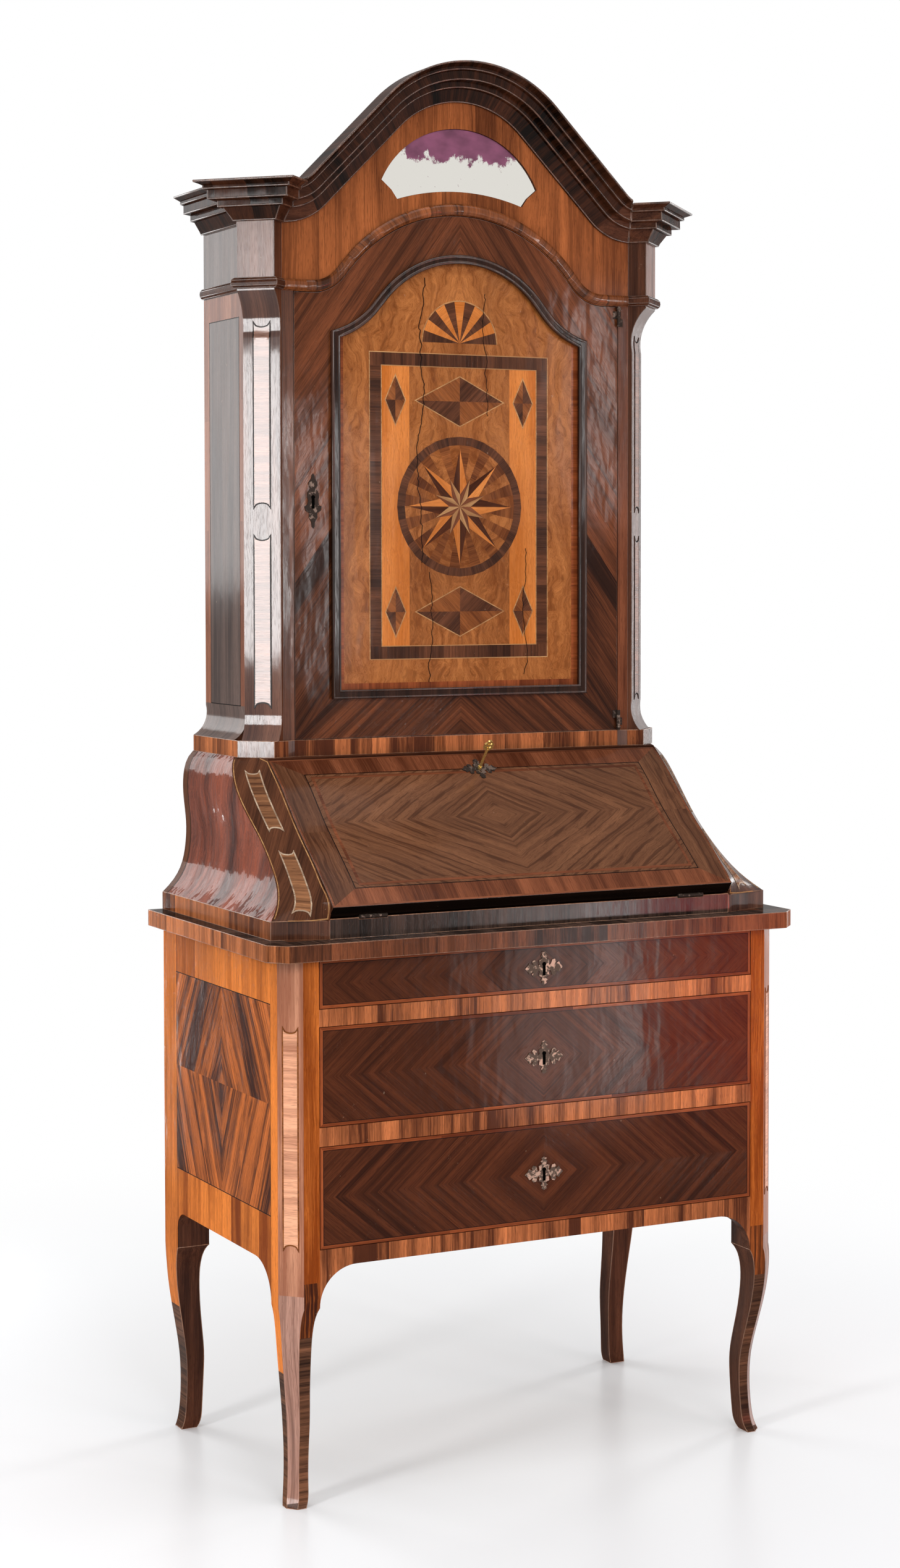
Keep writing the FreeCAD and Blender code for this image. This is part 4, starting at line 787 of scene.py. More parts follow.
for side, out, sign in SIDES:
    post = Ground("leg_front_" + side, FRONT)
    a0, b0, a1, b1 = post.box
    leaves = [Leaf([box_outline(a0, POST_TURN, a1, b1)], WALNUT_GOLD, 90, 0.1, 4 + sign),
              Leaf([box_outline(a0, POST_KNEE, a1, POST_TURN)], WALNUT_SIDE, 90, 0.1, 9 + sign)]
    leaves += leg_blocks((a0, b0, a1, POST_KNEE), (0.2, 0.7))
    lay(f"post_front_{side}_veneer", post, leaves)
    for end, tone in (("front", 0.86), ("back", 0.66)):
        post = Ground(f"leg_{end}_{side}", out)
        a0, b0, a1, b1 = post.box
        leaves = [Leaf([box_outline(a0, KNEE_JOINT, a1, b1)], WALNUT_GOLD, 90, tone, 17 + sign)]
        leaves += leg_blocks((a0, b0, a1, KNEE_JOINT), (0.3, 0.8))
        lay(f"post_{end}_{side}_side_veneer", post, leaves)
    panel = Ground("case_side_" + side, out)
    a0, b0, a1, b1 = panel.box
    heart = (a0 + a1) / 2
    leaves = []
    for low, high, grain in ((SIDE_BAND_LOW, SIDE_HEART, LOWER_GRAIN),
                             (SIDE_HEART, SIDE_BAND_TOP, UPPER_GRAIN)):
        half = matched(box_outline(a0, low, heart, high), WALNUT_SIDE, grain, (0.014, 0.042),
                       (0.1, 0.7))
        leaves += half + [replace(leaf, tone=leaf.tone + RIGHT_LEAF_TONE)
                          for leaf in mirrored(half, a=heart)]
    for low, high, tones in ((SIDE_BAND_TOP, b1, (0.2, 0.8)), (b0, SIDE_BAND_LOW, (0.05, 0.75))):
        leaves += banding(box_outline(a0, low, a1, high), WALNUT_GOLD, (0.028, 0.06), tones=tones)
    leaves += [box_string((a0, SIDE_BAND_LOW, a1, SIDE_BAND_TOP), FINE_LINE, EBONY)]
    lay(f"side_panel_{side}_veneer", panel, leaves)

# %% [markdown]
# ## Raised fields
# The canted corners carry long raised fields with hollow ends. The outline of one
# is the same everywhere: two straight sides, and at each end an arc that bites
# into the field between two small ears. Its leaf is thicker than the veneer round
# it, with a line at its foot. Where that line is dark it is painted shade, the
# shade of a groove round the field; on the desk it is pale, a painted highlight
# of the light on the field's edge. On the desk the fields lean with the corner, so
# a measure that bends with the strip puts each point between the strip's two edges.

# %% Fields on the canted corners
FIELD_STEPS, RING_STEPS, FIELD_RISE = 8, 12, 0.02
FIELD_PROUD, PAINTED_RIM_LINE, LINE_PROUD = 0.0008, 0.0022, 0.0009
CORNER_JOINT, SHOULDER = 0.34, 1.9195
CORNER_FIELD, PILLAR_HALF = (0.0125, 0.412, 0.758), 0.0145
FIELD_BITE = 0.008


def field(half, low, high, wood, bite, tone, seed, edge, bend):
    """A raised field with hollow ends, and the line round it: painted shade where that line's wood
    is dark, painted highlight where it is pale.
    """
    def at(share, rise):
        """A place on the field, from -1 to 1 across it and from 0 to 1 up it."""
        sag = bite * (1 - share * share) ** 0.5
        foot, head = low + sag, high - sag
        return bend((share * half, foot + (head - foot) * rise))
    marks = [2 * i / FIELD_STEPS - 1 for i in range(FIELD_STEPS + 1)]
    count = max(1, round((high - low) / FIELD_RISE))
    parts = [[at(s, i / count), at(t, i / count), at(t, (i + 1) / count), at(s, (i + 1) / count)]
             for s, t in zip(marks, marks[1:]) for i in range(count)]
    rises = [i / RING_STEPS for i in range(1, RING_STEPS)]
    ring = ([at(s, 0) for s in marks] + [at(1, rise) for rise in rises]
            + [at(s, 1) for s in marks[::-1]] + [at(-1, rise) for rise in rises[::-1]])
    return [Leaf(parts, wood, 0, tone, seed, proud=FIELD_PROUD),
            string(ring, PAINTED_RIM_LINE, edge, closed=True, proud=LINE_PROUD)]


def centred(ground):
    """Turns a measure from the middle of a ground into the ground's own."""
    middle = (ground.box[0] + ground.box[2]) / 2
    return lambda p: (p[0] + middle, p[1])


for side, out, _ in CORNERS:
    corner = Ground("leg_front_" + side, out)
    a0, b0, a1, b1 = corner.box
    # The pale pink wood here is partly painted highlight, and the pale leg veneer below the joint
    # is partly a painted reflection of the white floor.
    leaves = [Leaf([box_outline(a0, CORNER_JOINT, a1, b1)], FIELD_PINK_PAINTED_HIGHLIGHT, 90, 0.12, 2.5),
              Leaf([box_outline(a0, b0, a1, CORNER_JOINT)], LEG_VENEER_PAINTED_REFLECTION, 90, 0.5, 8.5)]
    # The walnut line round this field is painted shade, the shading round the field.
    leaves += field(*CORNER_FIELD, FIELD_PINK_PAINTED_HIGHLIGHT, FIELD_BITE, 0.72, 4.1, WALNUT_WARM,
                    centred(corner))
    lay(f"corner_{side}_veneer", corner, leaves)

    pillar = Ground("pilaster_" + side, out, limit=0.3)
    a0, b0, a1, b1 = pillar.box
    leaves = [Leaf([box_outline(a0, SHOULDER, a1, b1)], PILLAR_HEAD, 90, 0.5, 6.2),
              Leaf([box_outline(a0, b0, a1, SHOULDER)], PILLAR, 90, 0.5, 3.3)]
    # The black line round each pilaster field is painted shade, the shade of a groove at its foot.
    for low, high, tone, seed in ((1.238, 1.52, 0.45, 5.5), (1.565, 1.868, 0.5, 7.7)):
        leaves += field(PILLAR_HALF, low, high, PILLAR_FIELD, FIELD_BITE, tone, seed, EBONY,
                        centred(pillar))
    lay(f"pilaster_{side}_veneer", pillar, leaves)

# %% [markdown]
# ## The slab and the bands
# The chest's top is a slab with a thick cross-banded edge. The same banding runs
# round the plinth of the desk and round the base of the cabinet, and turns every
# corner with a joint on the angle.

# %% Band the slab, plinth and base
PLINTH_TOP = 0.9188
RIM = 0.045

cross_band("slab_front_band", "slab", FRONT, KINGWOOD_DARK, (0.02, 0.1), (0.0, 0.8),
           limit=SQUARE_ON)
for side, out, _ in SIDES:
    cross_band(f"slab_{side}_band", "slab", out, KINGWOOD, (0.02, 0.07), (0.35, 1.0),
               limit=SQUARE_ON)
    cross_band(f"plinth_{side}_band", "desk_side_" + side, out, KINGWOOD, (0.02, 0.07),
               (0.1, 0.8), limit=SQUARE_ON, keep=lambda centre, normal: centre.z < PLINTH_TOP)
    cross_band(f"base_{side}_band", "cabinet_base", out, KINGWOOD, (0.02, 0.06), (0.2, 0.8),
               limit=SQUARE_ON)
for side, out, sign in CORNERS:
    cross_band(f"slab_{side}_corner_band", "slab", out, KINGWOOD, (0.012, 0.024), (0.4, 0.8),
               limit=0.75)
    cross_band(f"plinth_{side}_corner_band", "desk_side_" + side, (sign * 0.5, -1, 0),
               STILE_WOOD if side == "left" else PILLAR, (0.012, 0.03), (0.3, 0.7), limit=0.5,
               keep=lambda centre, normal: centre.z < PLINTH_TOP and abs(normal.x) < 0.9)
    cross_band(f"base_{side}_corner_band", "cabinet_base", out, PILLAR, (0.03, 0.04), (0.4, 0.7))
cross_band("base_front_band", "cabinet_base", FRONT, KINGWOOD, (0.012, 0.045), (0.05, 0.75))
cross_band("ledge_veneer", "desk_ledge", FRONT, LEDGE_WOOD, (0.03, 0.09), (0.2, 0.7))

(x0, y0, _), (x1, y1, _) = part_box("slab")
leaves = banding(box_outline(x0, y0, x1, y0 + RIM), LEDGE_WOOD, (0.04, 0.09))
for a0, a1 in ((x0, x0 + RIM), (x1 - RIM, x1)):
    leaves += banding(box_outline(a0, y0 + RIM, a1, y1), LEDGE_WOOD, (0.04, 0.09), along="b")
lay("slab_top_band", Ground("slab", UP, up=BACKWARD), leaves)

# %% [markdown]
# ## The desk's swelling sides
# The sides swell outwards at the foot, and the corner between side and fall is a
# leaning strip that bends with them. One ground is all that looks sideways, the
# other all that looks to the corner, so each follows its own curve. The strip's
# two edges are found by looking across the ground at a level, which gives a bent
# measure for the fields.

# %% Veneer the desk sides
SIDE_LINE = 0.022
STRIP_STEPS, STRIP_END = 40, 0.02
STRIP_HALF, STRIP_BITE, STRING_IN = 0.0135, 0.006, 0.003


def edges_at(ground, level):
    """The lowest and highest measure across a ground, at one level up it."""
    found = []
    for edge in ground.sheet.edges:
        (a, b), (c, d) = (ground.flat(vert.co) for vert in edge.verts)
        if (b - level) * (d - level) < 0:
            found.append(a + (c - a) * (level - b) / (d - b))
    return min(found), max(found)


for side, _, sign in SIDES:
    name = "desk_side_" + side
    flank = Ground(name, (sign, 0, 0.25), limit=0.2,
                   keep=lambda centre, normal: centre.z > PLINTH_TOP and -0.2 < normal.y < 0.5
                   and normal.x * sign > 0.05)
    a0, b0, a1, b1 = flank.box
    back, front = (a0, a1) if sign < 0 else (a1, a0)
    line = back - sign * SIDE_LINE
    wide, narrow = sorted((line, front)), sorted((line, back))
    leaves = [Leaf([box_outline(wide[0], b0, wide[1], b1)], REDWOOD, 90, 0.5, 1.5),
              Leaf([box_outline(narrow[0], b0, narrow[1], b1)], WALNUT_DARK, 90, 0.4, 2.5),
              string([(line, b0), (line, b1)], THIN_LINE, EBONY)]
    lay(f"desk_{side}_veneer", flank, leaves)

    lean = Ground(name, (sign, -0.85, 0.55), limit=0.2,
                  keep=lambda centre, normal: centre.z > PLINTH_TOP and normal.y < -0.2)
    a0, b0, a1, b1 = lean.box
    tall = b1 - b0
    levels = [b0 + tall * (STRIP_END + (1 - 2 * STRIP_END) * i / STRIP_STEPS)
              for i in range(STRIP_STEPS + 1)]
    rims = [edges_at(lean, level) for level in levels]

    def along_strip(p):
        """From a measure off the strip's middle to the flat measure."""
        place = (p[1] - levels[0]) / (levels[1] - levels[0])
        place = min(STRIP_STEPS - 0.001, max(0.0, place))
        i = int(place)
        low, high = (rims[i][k] + (rims[i + 1][k] - rims[i][k]) * (place - i) for k in (0, 1))
        return ((low + high) / 2 + p[0], p[1])
    leaves = [Leaf([box_outline(a0, b0, a1, b1)], WALNUT_DARK if side == "left" else STILE_WOOD,
                   90, 0.45, 3.5)]
    leaves += [string([(rim[edge] + shift, level) for rim, level in zip(rims, levels)], THIN_LINE,
                      LIGHT_STRING, tone=0.3) for edge, shift in ((0, STRING_IN), (1, -STRING_IN))]
    # The pale line round each field is a painted highlight, the light on the field's edge.
    for low, high, tone, seed in ((0.07, 0.43, 0.5, 2.2), (0.55, 0.9, 0.45, 9.2)):
        leaves += field(STRIP_HALF, b0 + tall * low, b0 + tall * high, STRIP_FIELD,
                        STRIP_BITE, tone, seed, PALE_EDGE_PAINTED_HIGHLIGHT, along_strip)
    lay(f"desk_{side}_strip_veneer", lean, leaves)

# %% [markdown]
# ## The fall
# The fall is a diamond match of brown walnut in a wide frame of redder wood. Its
# face swells like the sides, so the ground is measured along the slope, and the
# leaves bend with it. Its lower edge, over the ledge, is laid black: painted shade
# for the dark gap between the fall and the ledge.

# %% Veneer the fall
SLOPE = math.radians(40.09)
FALL_SIDE, FALL_HEAD, FALL_FOOT = 0.05, 0.04, 0.036
FALL_GRAIN, FALL_HEART = 33, 0.02
up_slope = Vector((0, math.cos(SLOPE), math.sin(SLOPE)))
off_slope = Vector((0, -math.sin(SLOPE), math.cos(SLOPE)))
fall = Ground("fall_board", off_slope, up=up_slope, limit=0.5)
inner = inset(fall.box, FALL_SIDE, FALL_FOOT, FALL_HEAD)
chance = random.Random(5)
leaves = diamond(inner, WALNUT_FALL, FALL_GRAIN, (0.03, 0.08), (0.46, 0.57),
                 centre=(0.0, (inner[1] + inner[3]) / 2 + FALL_HEART))
for strip, (wood_now, widths, tones, along) in zip(mitred(fall.box, inner), (
        (WALNUT_RED, (0.05, 0.12), (0.3, 0.7), "a"), (WALNUT_RED, (0.08, 0.16), (0.1, 0.5), "a"),
        (WALNUT_FALL, (0.1, 0.18), (0.3, 0.5), "b"), (WALNUT_FALL, (0.1, 0.18), (0.3, 0.5), "b"))):
    leaves += banding(strip, wood_now, widths, along=along, grain=90, tones=tones)
leaves += [box_string(inner, THIN_LINE, EBONY),
           box_string(inset(inner, 0.011, 0.008, 0.008), 0.005, WALNUT_RED, 0.0002),
           box_string(inset(fall.box, 0.002, 0.002, 0.002), 0.003, WALNUT_RED)]
lay("fall_veneer", fall, leaves, body="fall")
# A black leaf on the fall's lower edge is painted shade, the shade of the gap over the ledge.
foot = Ground("fall_board", -up_slope, up=off_slope, limit=0.8)
lay("fall_foot_painted_shade", foot, [Leaf([box_outline(*foot.box)], EBONY, 0, 0.1)], body="fall")

# %% [markdown]
# ## Cabinet sides and door
# The cabinet's sides are plain dark leaves in a reddish band. The door's frame is
# the boldest use of one pack on the piece: wide strips that run up to the middle
# from both sides, so the whole frame reads as one great arrow, with mitres at the
# foot only.

# %% Veneer the cabinet sides and the door frame
CABINET_BAND, CABINET_FOOT, CABINET_HEAD = 0.024, 0.055, 0.04
chance = random.Random(21)
for side, out, _ in SIDES:
    flank = Ground("cabinet_side_" + side, out, limit=0.3)
    a0, b0, a1, b1 = flank.box
    inner = inset((a0, b0, a1, SHOULDER), CABINET_BAND, CABINET_FOOT, CABINET_HEAD)
    leaves = [Leaf([box_outline(*inner)], GREYED, 90, 0.45, 1.2),
              Leaf([box_outline(a0, SHOULDER, a1, b1)], GREYED, 90, 0.55, 4.2),
              Leaf([box_outline(a0, b0, a1, inner[1])], GREYED, 90, 0.7, 9.2),
              box_string(inner, FINE_LINE, EBONY)]
    _, head, *uprights = mitred((a0, inner[1], a1, SHOULDER), inner)
    for strip in uprights:
        leaves += banding(strip, CAB_BAND, (0.12, 0.2), along="b", grain=90, tones=(0.4, 0.7))
    leaves += banding(head, CAB_BAND, (0.03, 0.06), tones=(0.4, 0.8))
    lay(f"cabinet_{side}_veneer", flank, leaves)

stiles = Ground("door_stiles", FRONT)
a0, b0, a1, b1 = stiles.box
lay("door_stile_veneer", stiles, [Leaf([box_outline(a0, b0, 0, b1)], STILE_WOOD, 90, 0.45, 2),
                                  Leaf([box_outline(0, b0, a1, b1)], WALNUT_RED, 90, 0.4, 4)])

frame_face = Ground("door_frame", FRONT, limit=SQUARE_ON)
a0, b0, a1, b1 = frame_face.box
left_half = box_outline(a0, b0, 0, b1 + 0.01)
upright, foot = (trimmed(left_half, (a0, b0), away) for away in ((1, -1), (-1, 1)))
half = matched(upright, WALNUT_DOOR, 54, (0.06, 0.14), (0.08, 0.85))
half += matched(foot, WALNUT_DOOR, 40, (0.05, 0.11), (0.2, 0.6))
lay("door_frame_veneer", frame_face, half + mirrored(half, a=0), body="door")

# %% [markdown]
# ## The door's panel
# The panel is golden burr, framed by a reddish band, with marquetry let in. The
# drawing is a common geometric one: a strap of dark wood round a bright field, an
# eight-pointed star in a ring, and a lozenge above and below. Each shape is built
# of straight-sided leaves, half of them light and half dark, so that the points
# seem folded.

# %% Marquetry for the panel
PANEL_BAND, PANEL_BLOCKS = 0.014, (0.05, 0.11)
STRAP = (-0.158, 1.325, 0.158, 1.815)
STRAP_WIDE, STRAP_BLOCKS = 0.022, (0.03, 0.07)
GOLD_HALF = 0.095
RING_INNER, RING_OUTER, RING_BLOCKS = 0.104, 0.118, 32
STAR_POINTS = 8
LOZENGE_IN, LOZENGE_TALL = 0.068, 0.042
CROWN_RISE, CROWN_REACH, CROWN_LINE, CROWN_BLOCKS, CROWN_STEPS = 0.03, 0.07, 0.071, 11, 22


def round_about(centre, reach, turn):
    return (centre[0] + reach * math.cos(turn), centre[1] + reach * math.sin(turn))


def fan(centre, inner, outer, count, woods, share=1.0, tones=(0.35, 0.65), grain=90):
    """Sectors between two radii, with woods in turn."""
    leaves = []
    for i in range(count):
        start, end = (2 * math.pi * share * k / count for k in (i, i + 1))
        ring = [round_about(centre, outer, start), round_about(centre, outer, end)]
        ring += ([round_about(centre, inner, end), round_about(centre, inner, start)] if inner
                 else [centre])
        leaves.append(chance_leaf(ring, woods[i % len(woods)],
                                  math.degrees((start + end) / 2) + grain, tones))
    return leaves


def star(centre, reach, waist, woods, turn=math.pi / 2):
    """A star of folded points: two leaves to a point, one light and one dark."""
    leaves = []
    for i in range(STAR_POINTS):
        tip = turn + 2 * math.pi * i / STAR_POINTS
        for j, wood_now in zip((-1, 1), woods):
            notch = tip + j * math.pi / STAR_POINTS
            ring = [centre, round_about(centre, reach, tip), round_about(centre, waist, notch)]
            leaves.append(Leaf([ring], wood_now, math.degrees(tip), 0.5, chance.random() * SEEDS,
                               proud=0.0003))
    return leaves


def lozenge(centre, half_a, half_b, woods):
    """A lozenge of four leaves."""
    a, b = centre
    tips = [(a + half_a, b), (a, b + half_b), (a - half_a, b), (a, b - half_b)]
    return [Leaf([[centre, tips[i], tips[(i + 1) % 4]]], woods[i % 2], 45 + 90 * i, 0.5,
                 chance.random() * SEEDS, proud=0.0003) for i in range(4)] + [
        string(tips, THIN_LINE, LIGHT_STRING, closed=True, proud=0.0004)]


panel = Ground("door_panel", FRONT, limit=SQUARE_ON)
a0, b0, a1, b1 = panel.box
chance = random.Random(33)
middle = (0.0, (STRAP[1] + STRAP[3]) / 2)


def sheet_leaf(box, wood, tone, seed, proud=0.0):
    """A leaf pinned at the panel's middle, turned over on the right of it."""
    return Leaf([box_outline(*box)], wood, 90, tone, seed, flip=1 if box[0] < 0 else -1,
                pin=middle, proud=proud)


leaves = [sheet_leaf((a_low, b_low, a_high, b_high), BURR, 0.5, 3.7)
          for b_low, b_high in ((b0 + PANEL_BAND, middle[1]), (middle[1], b1 + 0.001))
          for a_low, a_high in ((a0 + PANEL_BAND, 0.0), (0.0, a1 - PANEL_BAND))]
for a_low, a_high in ((a0, a0 + PANEL_BAND), (a1 - PANEL_BAND, a1)):
    leaves += banding(box_outline(a_low, b0 + PANEL_BAND, a_high, b1), RED_BAND, PANEL_BLOCKS,
                      along="b", tones=(0.5, 1.0))
leaves += banding(box_outline(a0, b0, a1, b0 + PANEL_BAND), RED_BAND, PANEL_BLOCKS,
                  tones=(0.5, 1.0))
leaves += [sheet_leaf((a_low, STRAP[1], a_high, STRAP[3]), wood_now, 0.42, 7.9, proud=0.0001)
           for a_low, a_high, wood_now in (
               (STRAP[0], -GOLD_HALF, ORANGE), (-GOLD_HALF, 0.0, BURR),
               (0.0, GOLD_HALF, BURR), (GOLD_HALF, STRAP[2], ORANGE))]
edge = STRAP_WIDE / 2
for a in (STRAP[0], STRAP[2]):
    rail = box_outline(a - edge, STRAP[1], a + edge, STRAP[3])
    leaves += lifted(banding(rail, WALNUT_DARK, STRAP_BLOCKS, along="b", tones=(0.2, 0.6)), 0.0002)
for b in (STRAP[1], STRAP[3]):
    rail = box_outline(STRAP[0] - edge, b - edge, STRAP[2] + edge, b + edge)
    leaves += lifted(banding(rail, WALNUT_DARK, STRAP_BLOCKS, tones=(0.2, 0.6)), 0.0003)
leaves += [box_string(inset(STRAP, step, step, step), FINE_LINE, LIGHT_STRING, 0.0004)
           for step in (edge, -edge)]
leaves += lifted(fan(middle, 0, RING_INNER, RING_BLOCKS, (BURR, WALNUT_WARM), tones=(0.2, 0.5)),
                 0.0002)
leaves += lifted(fan(middle, RING_INNER, RING_OUTER, RING_BLOCKS, (WALNUT_DARK,), grain=0,
                     tones=(0.3, 0.5)), 0.0003)
leaves += star(middle, 0.098, 0.036, (ORANGE, ROSEWOOD))
leaves += lifted(star(middle, 0.05, 0.02, (LIGHT_STRING, WALNUT_RED), turn=math.pi / 8), 0.0006)
for height in (STRAP[1] + LOZENGE_IN, STRAP[3] - LOZENGE_IN):
    for a, half_wide in ((0.0, 0.084), (-0.121, 0.019), (0.121, 0.019)):
        leaves += lozenge((a, height), half_wide, LOZENGE_TALL, (WALNUT_DARK, WALNUT_WARM))
crown = (0.0, STRAP[3] + CROWN_RISE)
leaves += lifted(fan(crown, 0, CROWN_REACH, CROWN_BLOCKS, (WALNUT_DARK, ORANGE), share=0.5),
                 0.0002)
leaves += [string([round_about(crown, CROWN_LINE, math.pi * i / CROWN_STEPS)
                   for i in range(CROWN_STEPS + 1)], THIN_LINE, LIGHT_STRING, proud=0.0003)]
lay("panel_marquetry", panel, leaves, body="door")

# %% [markdown]
# ## The pediment
# The board under the arch is laid with wide upright leaves, and the looking-glass is
# let into it. The mouldings are cross-grained: short blocks set square to the curve,
# so that the grain runs over the profile. The blocks need the curve itself, which is
# found by looking down on the moulding from above.

# %% Veneer the pediment and the mouldings
ARCH_HALF, LINE_STEPS = 0.3275, 120
BLOCK_OVER, BLOCK_LOOK = 0.01, 0.03
ARCH_DEPTH, FRIEZE_DEPTH = -0.009, 0.036
NOT_BACK = -0.6
cross_band("tympanum_veneer", "tympanum", FRONT, TYMPAN, (0.05, 0.12), (0.15, 0.75),
           slot="veneer_mid", limit=SQUARE_ON)


def top_line(name, depth):
    """Points along the upper outline of a node, seen from the front, at one depth."""
    shape = bmesh.new()
    shape.from_mesh(nodes[name].data)
    tree = BVHTree.FromBMesh(shape)
    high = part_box(name)[1].z + 0.1
    points = []
    for i in range(LINE_STEPS + 1):
        x = -ARCH_HALF + 2 * ARCH_HALF * i / LINE_STEPS
        hit = tree.ray_cast(Vector((x, depth, high)), -UP)[0]
        if hit:
            points.append((x, hit.z))
    shape.free()
    return points


def radial_blocks(points, wood, widths, reach, tones):
    """Blocks square to a curve, of chance widths along it."""
    runs = [math.dist(start, end) for start, end in zip(points, points[1:])]

    def place_at(distance):
        walked = 0.0
        for (a, b), (c, d), run in zip(points, points[1:], runs):
            if walked + run >= distance:
                t = (distance - walked) / run
                return (a + (c - a) * t, b + (d - b) * t)
            walked += run
        return points[-1]
    whole = sum(runs)
    stops = [0.0]
    while stops[-1] < whole:
        stops.append(min(whole, stops[-1] + chance.uniform(*widths)))
    rails = []
    for stop in stops:
        (a, b), (c, d) = (place_at(max(0, stop - BLOCK_LOOK)),
                          place_at(min(whole, stop + BLOCK_LOOK)))
        run = math.hypot(c - a, d - b)
        here, normal = place_at(stop), ((b - d) / run, (c - a) / run)
        rails.append(([(here[0] + normal[0] * far, here[1] + normal[1] * far)
                       for far in (BLOCK_OVER, -reach)], normal))
    return [chance_leaf([q, s, r, p], wood, math.degrees(math.atan2(normal[1], normal[0])), tones)
            for ((p, q), normal), ((r, s), _) in zip(rails, rails[1:])]


def over_profile(ground, place, leaf):
    """A measure that keeps growing as the surface turns outwards."""
    a, b = ground.flat(place)
    depth, turn = place.dot(ground.out), math.radians(leaf.grain)
    return (a + depth * math.cos(turn), b + depth * math.sin(turn))


arch = Ground("cornice_arch", FRONT, limit=NOT_BACK)
lay("cornice_arch_veneer", arch,
    radial_blocks(top_line("cornice_arch", ARCH_DEPTH), CORNICE, (0.03, 0.055), 0.135,
                  (0.2, 0.7)),
    measure=over_profile)
for side, out, sign in CORNERS:
    name = "cornice_" + side
    for run, way, keep in (
            ("front", FRONT, lambda c, n: abs(n.x) < 0.05 and n.y < 0.5 and abs(n.y) > 0.02),
            ("side", (sign, 0, 0), lambda c, n: abs(n.y) < 0.05 and abs(n.x) > 0.02),
            ("corner", out, lambda c, n: abs(n.x * sign + n.y) < 0.05 and abs(n.x) > 0.02)):
        ground = Ground(name, way, limit=0.01, keep=keep)
        if ground.sheet.faces:
            lay(f"{name}_{run}_veneer", ground,
                banding(box_outline(*ground.box), CORNICE, (0.03, 0.06), tones=(0.25, 0.7)),
                measure=over_profile)
frieze = Ground("frieze_moulding", FRONT, limit=0.01,
                keep=lambda c, n: abs(c.x) < 0.328 and c.y < 0.045)
lay("frieze_veneer", frieze,
    radial_blocks(top_line("frieze_moulding", FRIEZE_DEPTH), FRIEZE_WOOD, (0.04, 0.09), 0.03,
                  (0.3, 0.7)),
    measure=over_profile)

# %% [markdown]
# ## Rubbed edges
# Every outer edge of an old piece has been rubbed by cloths until it is round,
# paler and brighter than the faces beside it. A fine bright line along each edge
# is what makes the mouldings read from far off. The edges are found in the
# joiner's solids: an edge counts where two faces meet at a sharp outer angle. A
# small tree of geometry nodes then turns them into curves and runs a round
# section along each.

# %% Round the edges
BAR_SIDES, BAR_SINK = 6, 0.75
SHORTEST = 1e-4


def geometry_tree(name, numbers):
    """A tree that takes a plain mesh, some numbers and a material."""
    return node_group(name, "Geometry", [("Geometry", "Geometry"), *numbers,
                                         ("Material", "Material")], [("Geometry", "Geometry")])


def finished(tree, shape, given, result):
    """Ends a tree: everything is made real, gets its material and goes out."""
    whole = add(tree, "GeometryNodeRealizeInstances", {0: shape}).outputs[0]
    last = add(tree, "GeometryNodeSetMaterial", {0: whole, "Material": given["Material"]})
    tree.links.new(last.outputs[0], result["Geometry"])


def grown(mesh, tree, values):
    """What a tree of geometry nodes makes of a plain mesh, as a mesh of its own."""
    maker = linked(mesh.name, mesh)
    growth = maker.modifiers.new(tree.name, "NODES")
    growth.node_group = tree
    for socket in tree.interface.items_tree:
        if socket.in_out == "INPUT" and socket.name in values:
            growth[socket.identifier] = values[socket.name]
    ready = maker.evaluated_get(bpy.context.evaluated_depsgraph_get())
    data = bpy.data.meshes.new_from_object(ready)
    data.shade_smooth()
    maker.modifiers.clear()
    bpy.data.objects.remove(maker)
    return data


tree, given, result = geometry_tree("round_edges", [("Radius", "Float"), ("Sides", "Int")])
run = add(tree, "GeometryNodeMeshToCurve", {0: given["Geometry"]}).outputs[0]
ring = add(tree, "GeometryNodeCurvePrimitiveCircle",
           {"Radius": given["Radius"], "Resolution": given["Sides"]}).outputs[0]
swept = add(tree, "GeometryNodeCurveToMesh", {0: run, "Profile Curve": ring, "Fill Caps": True})
finished(tree, swept.outputs[0], given, result)
round_tree = tree


def rubbed(name, names, finish, keep, radius=0.0009, sharp=38,
           body="carcase"):
    """Round bars along the sharp outer edges of some nodes."""
    shape = bmesh.new()
    for node in names:
        shape.from_mesh(nodes[node].data)
    bmesh.ops.remove_doubles(shape, verts=shape.verts, dist=WELD)
    shape.normal_update()
    kept, shifts = [], {}
    for edge in shape.edges:
        if len(edge.link_faces) != 2 or edge.calc_length() < SHORTEST:
            continue
        middle = (edge.verts[0].co + edge.verts[1].co) / 2
        facing = [face.normal for face in edge.link_faces]
        if math.degrees(edge.calc_face_angle_signed(0)) > sharp and keep(middle, *facing):
            inward = (facing[0] + facing[1]).normalized() * radius * BAR_SINK
            kept.append([vert.index for vert in edge.verts])
            for end in kept[-1]:
                shifts.setdefault(end, []).append(inward)
    places = [vert.co.copy() for vert in shape.verts]
    order = {end: i for i, end in enumerate(shifts)}
    wires = bpy.data.meshes.new(name + "_wires")
    wires.from_pydata([places[end] - sum(moves, Vector()) / len(moves)
                       for end, moves in shifts.items()], [(order[a], order[b]) for a, b in kept],
                      [])
    shape.free()
    data = grown(wires, round_tree, {"Radius": radius, "Sides": BAR_SIDES, "Material": finish})
    piece_of(name, data, body)
    print(name, len(kept), "edges", len(data.polygons), "faces")


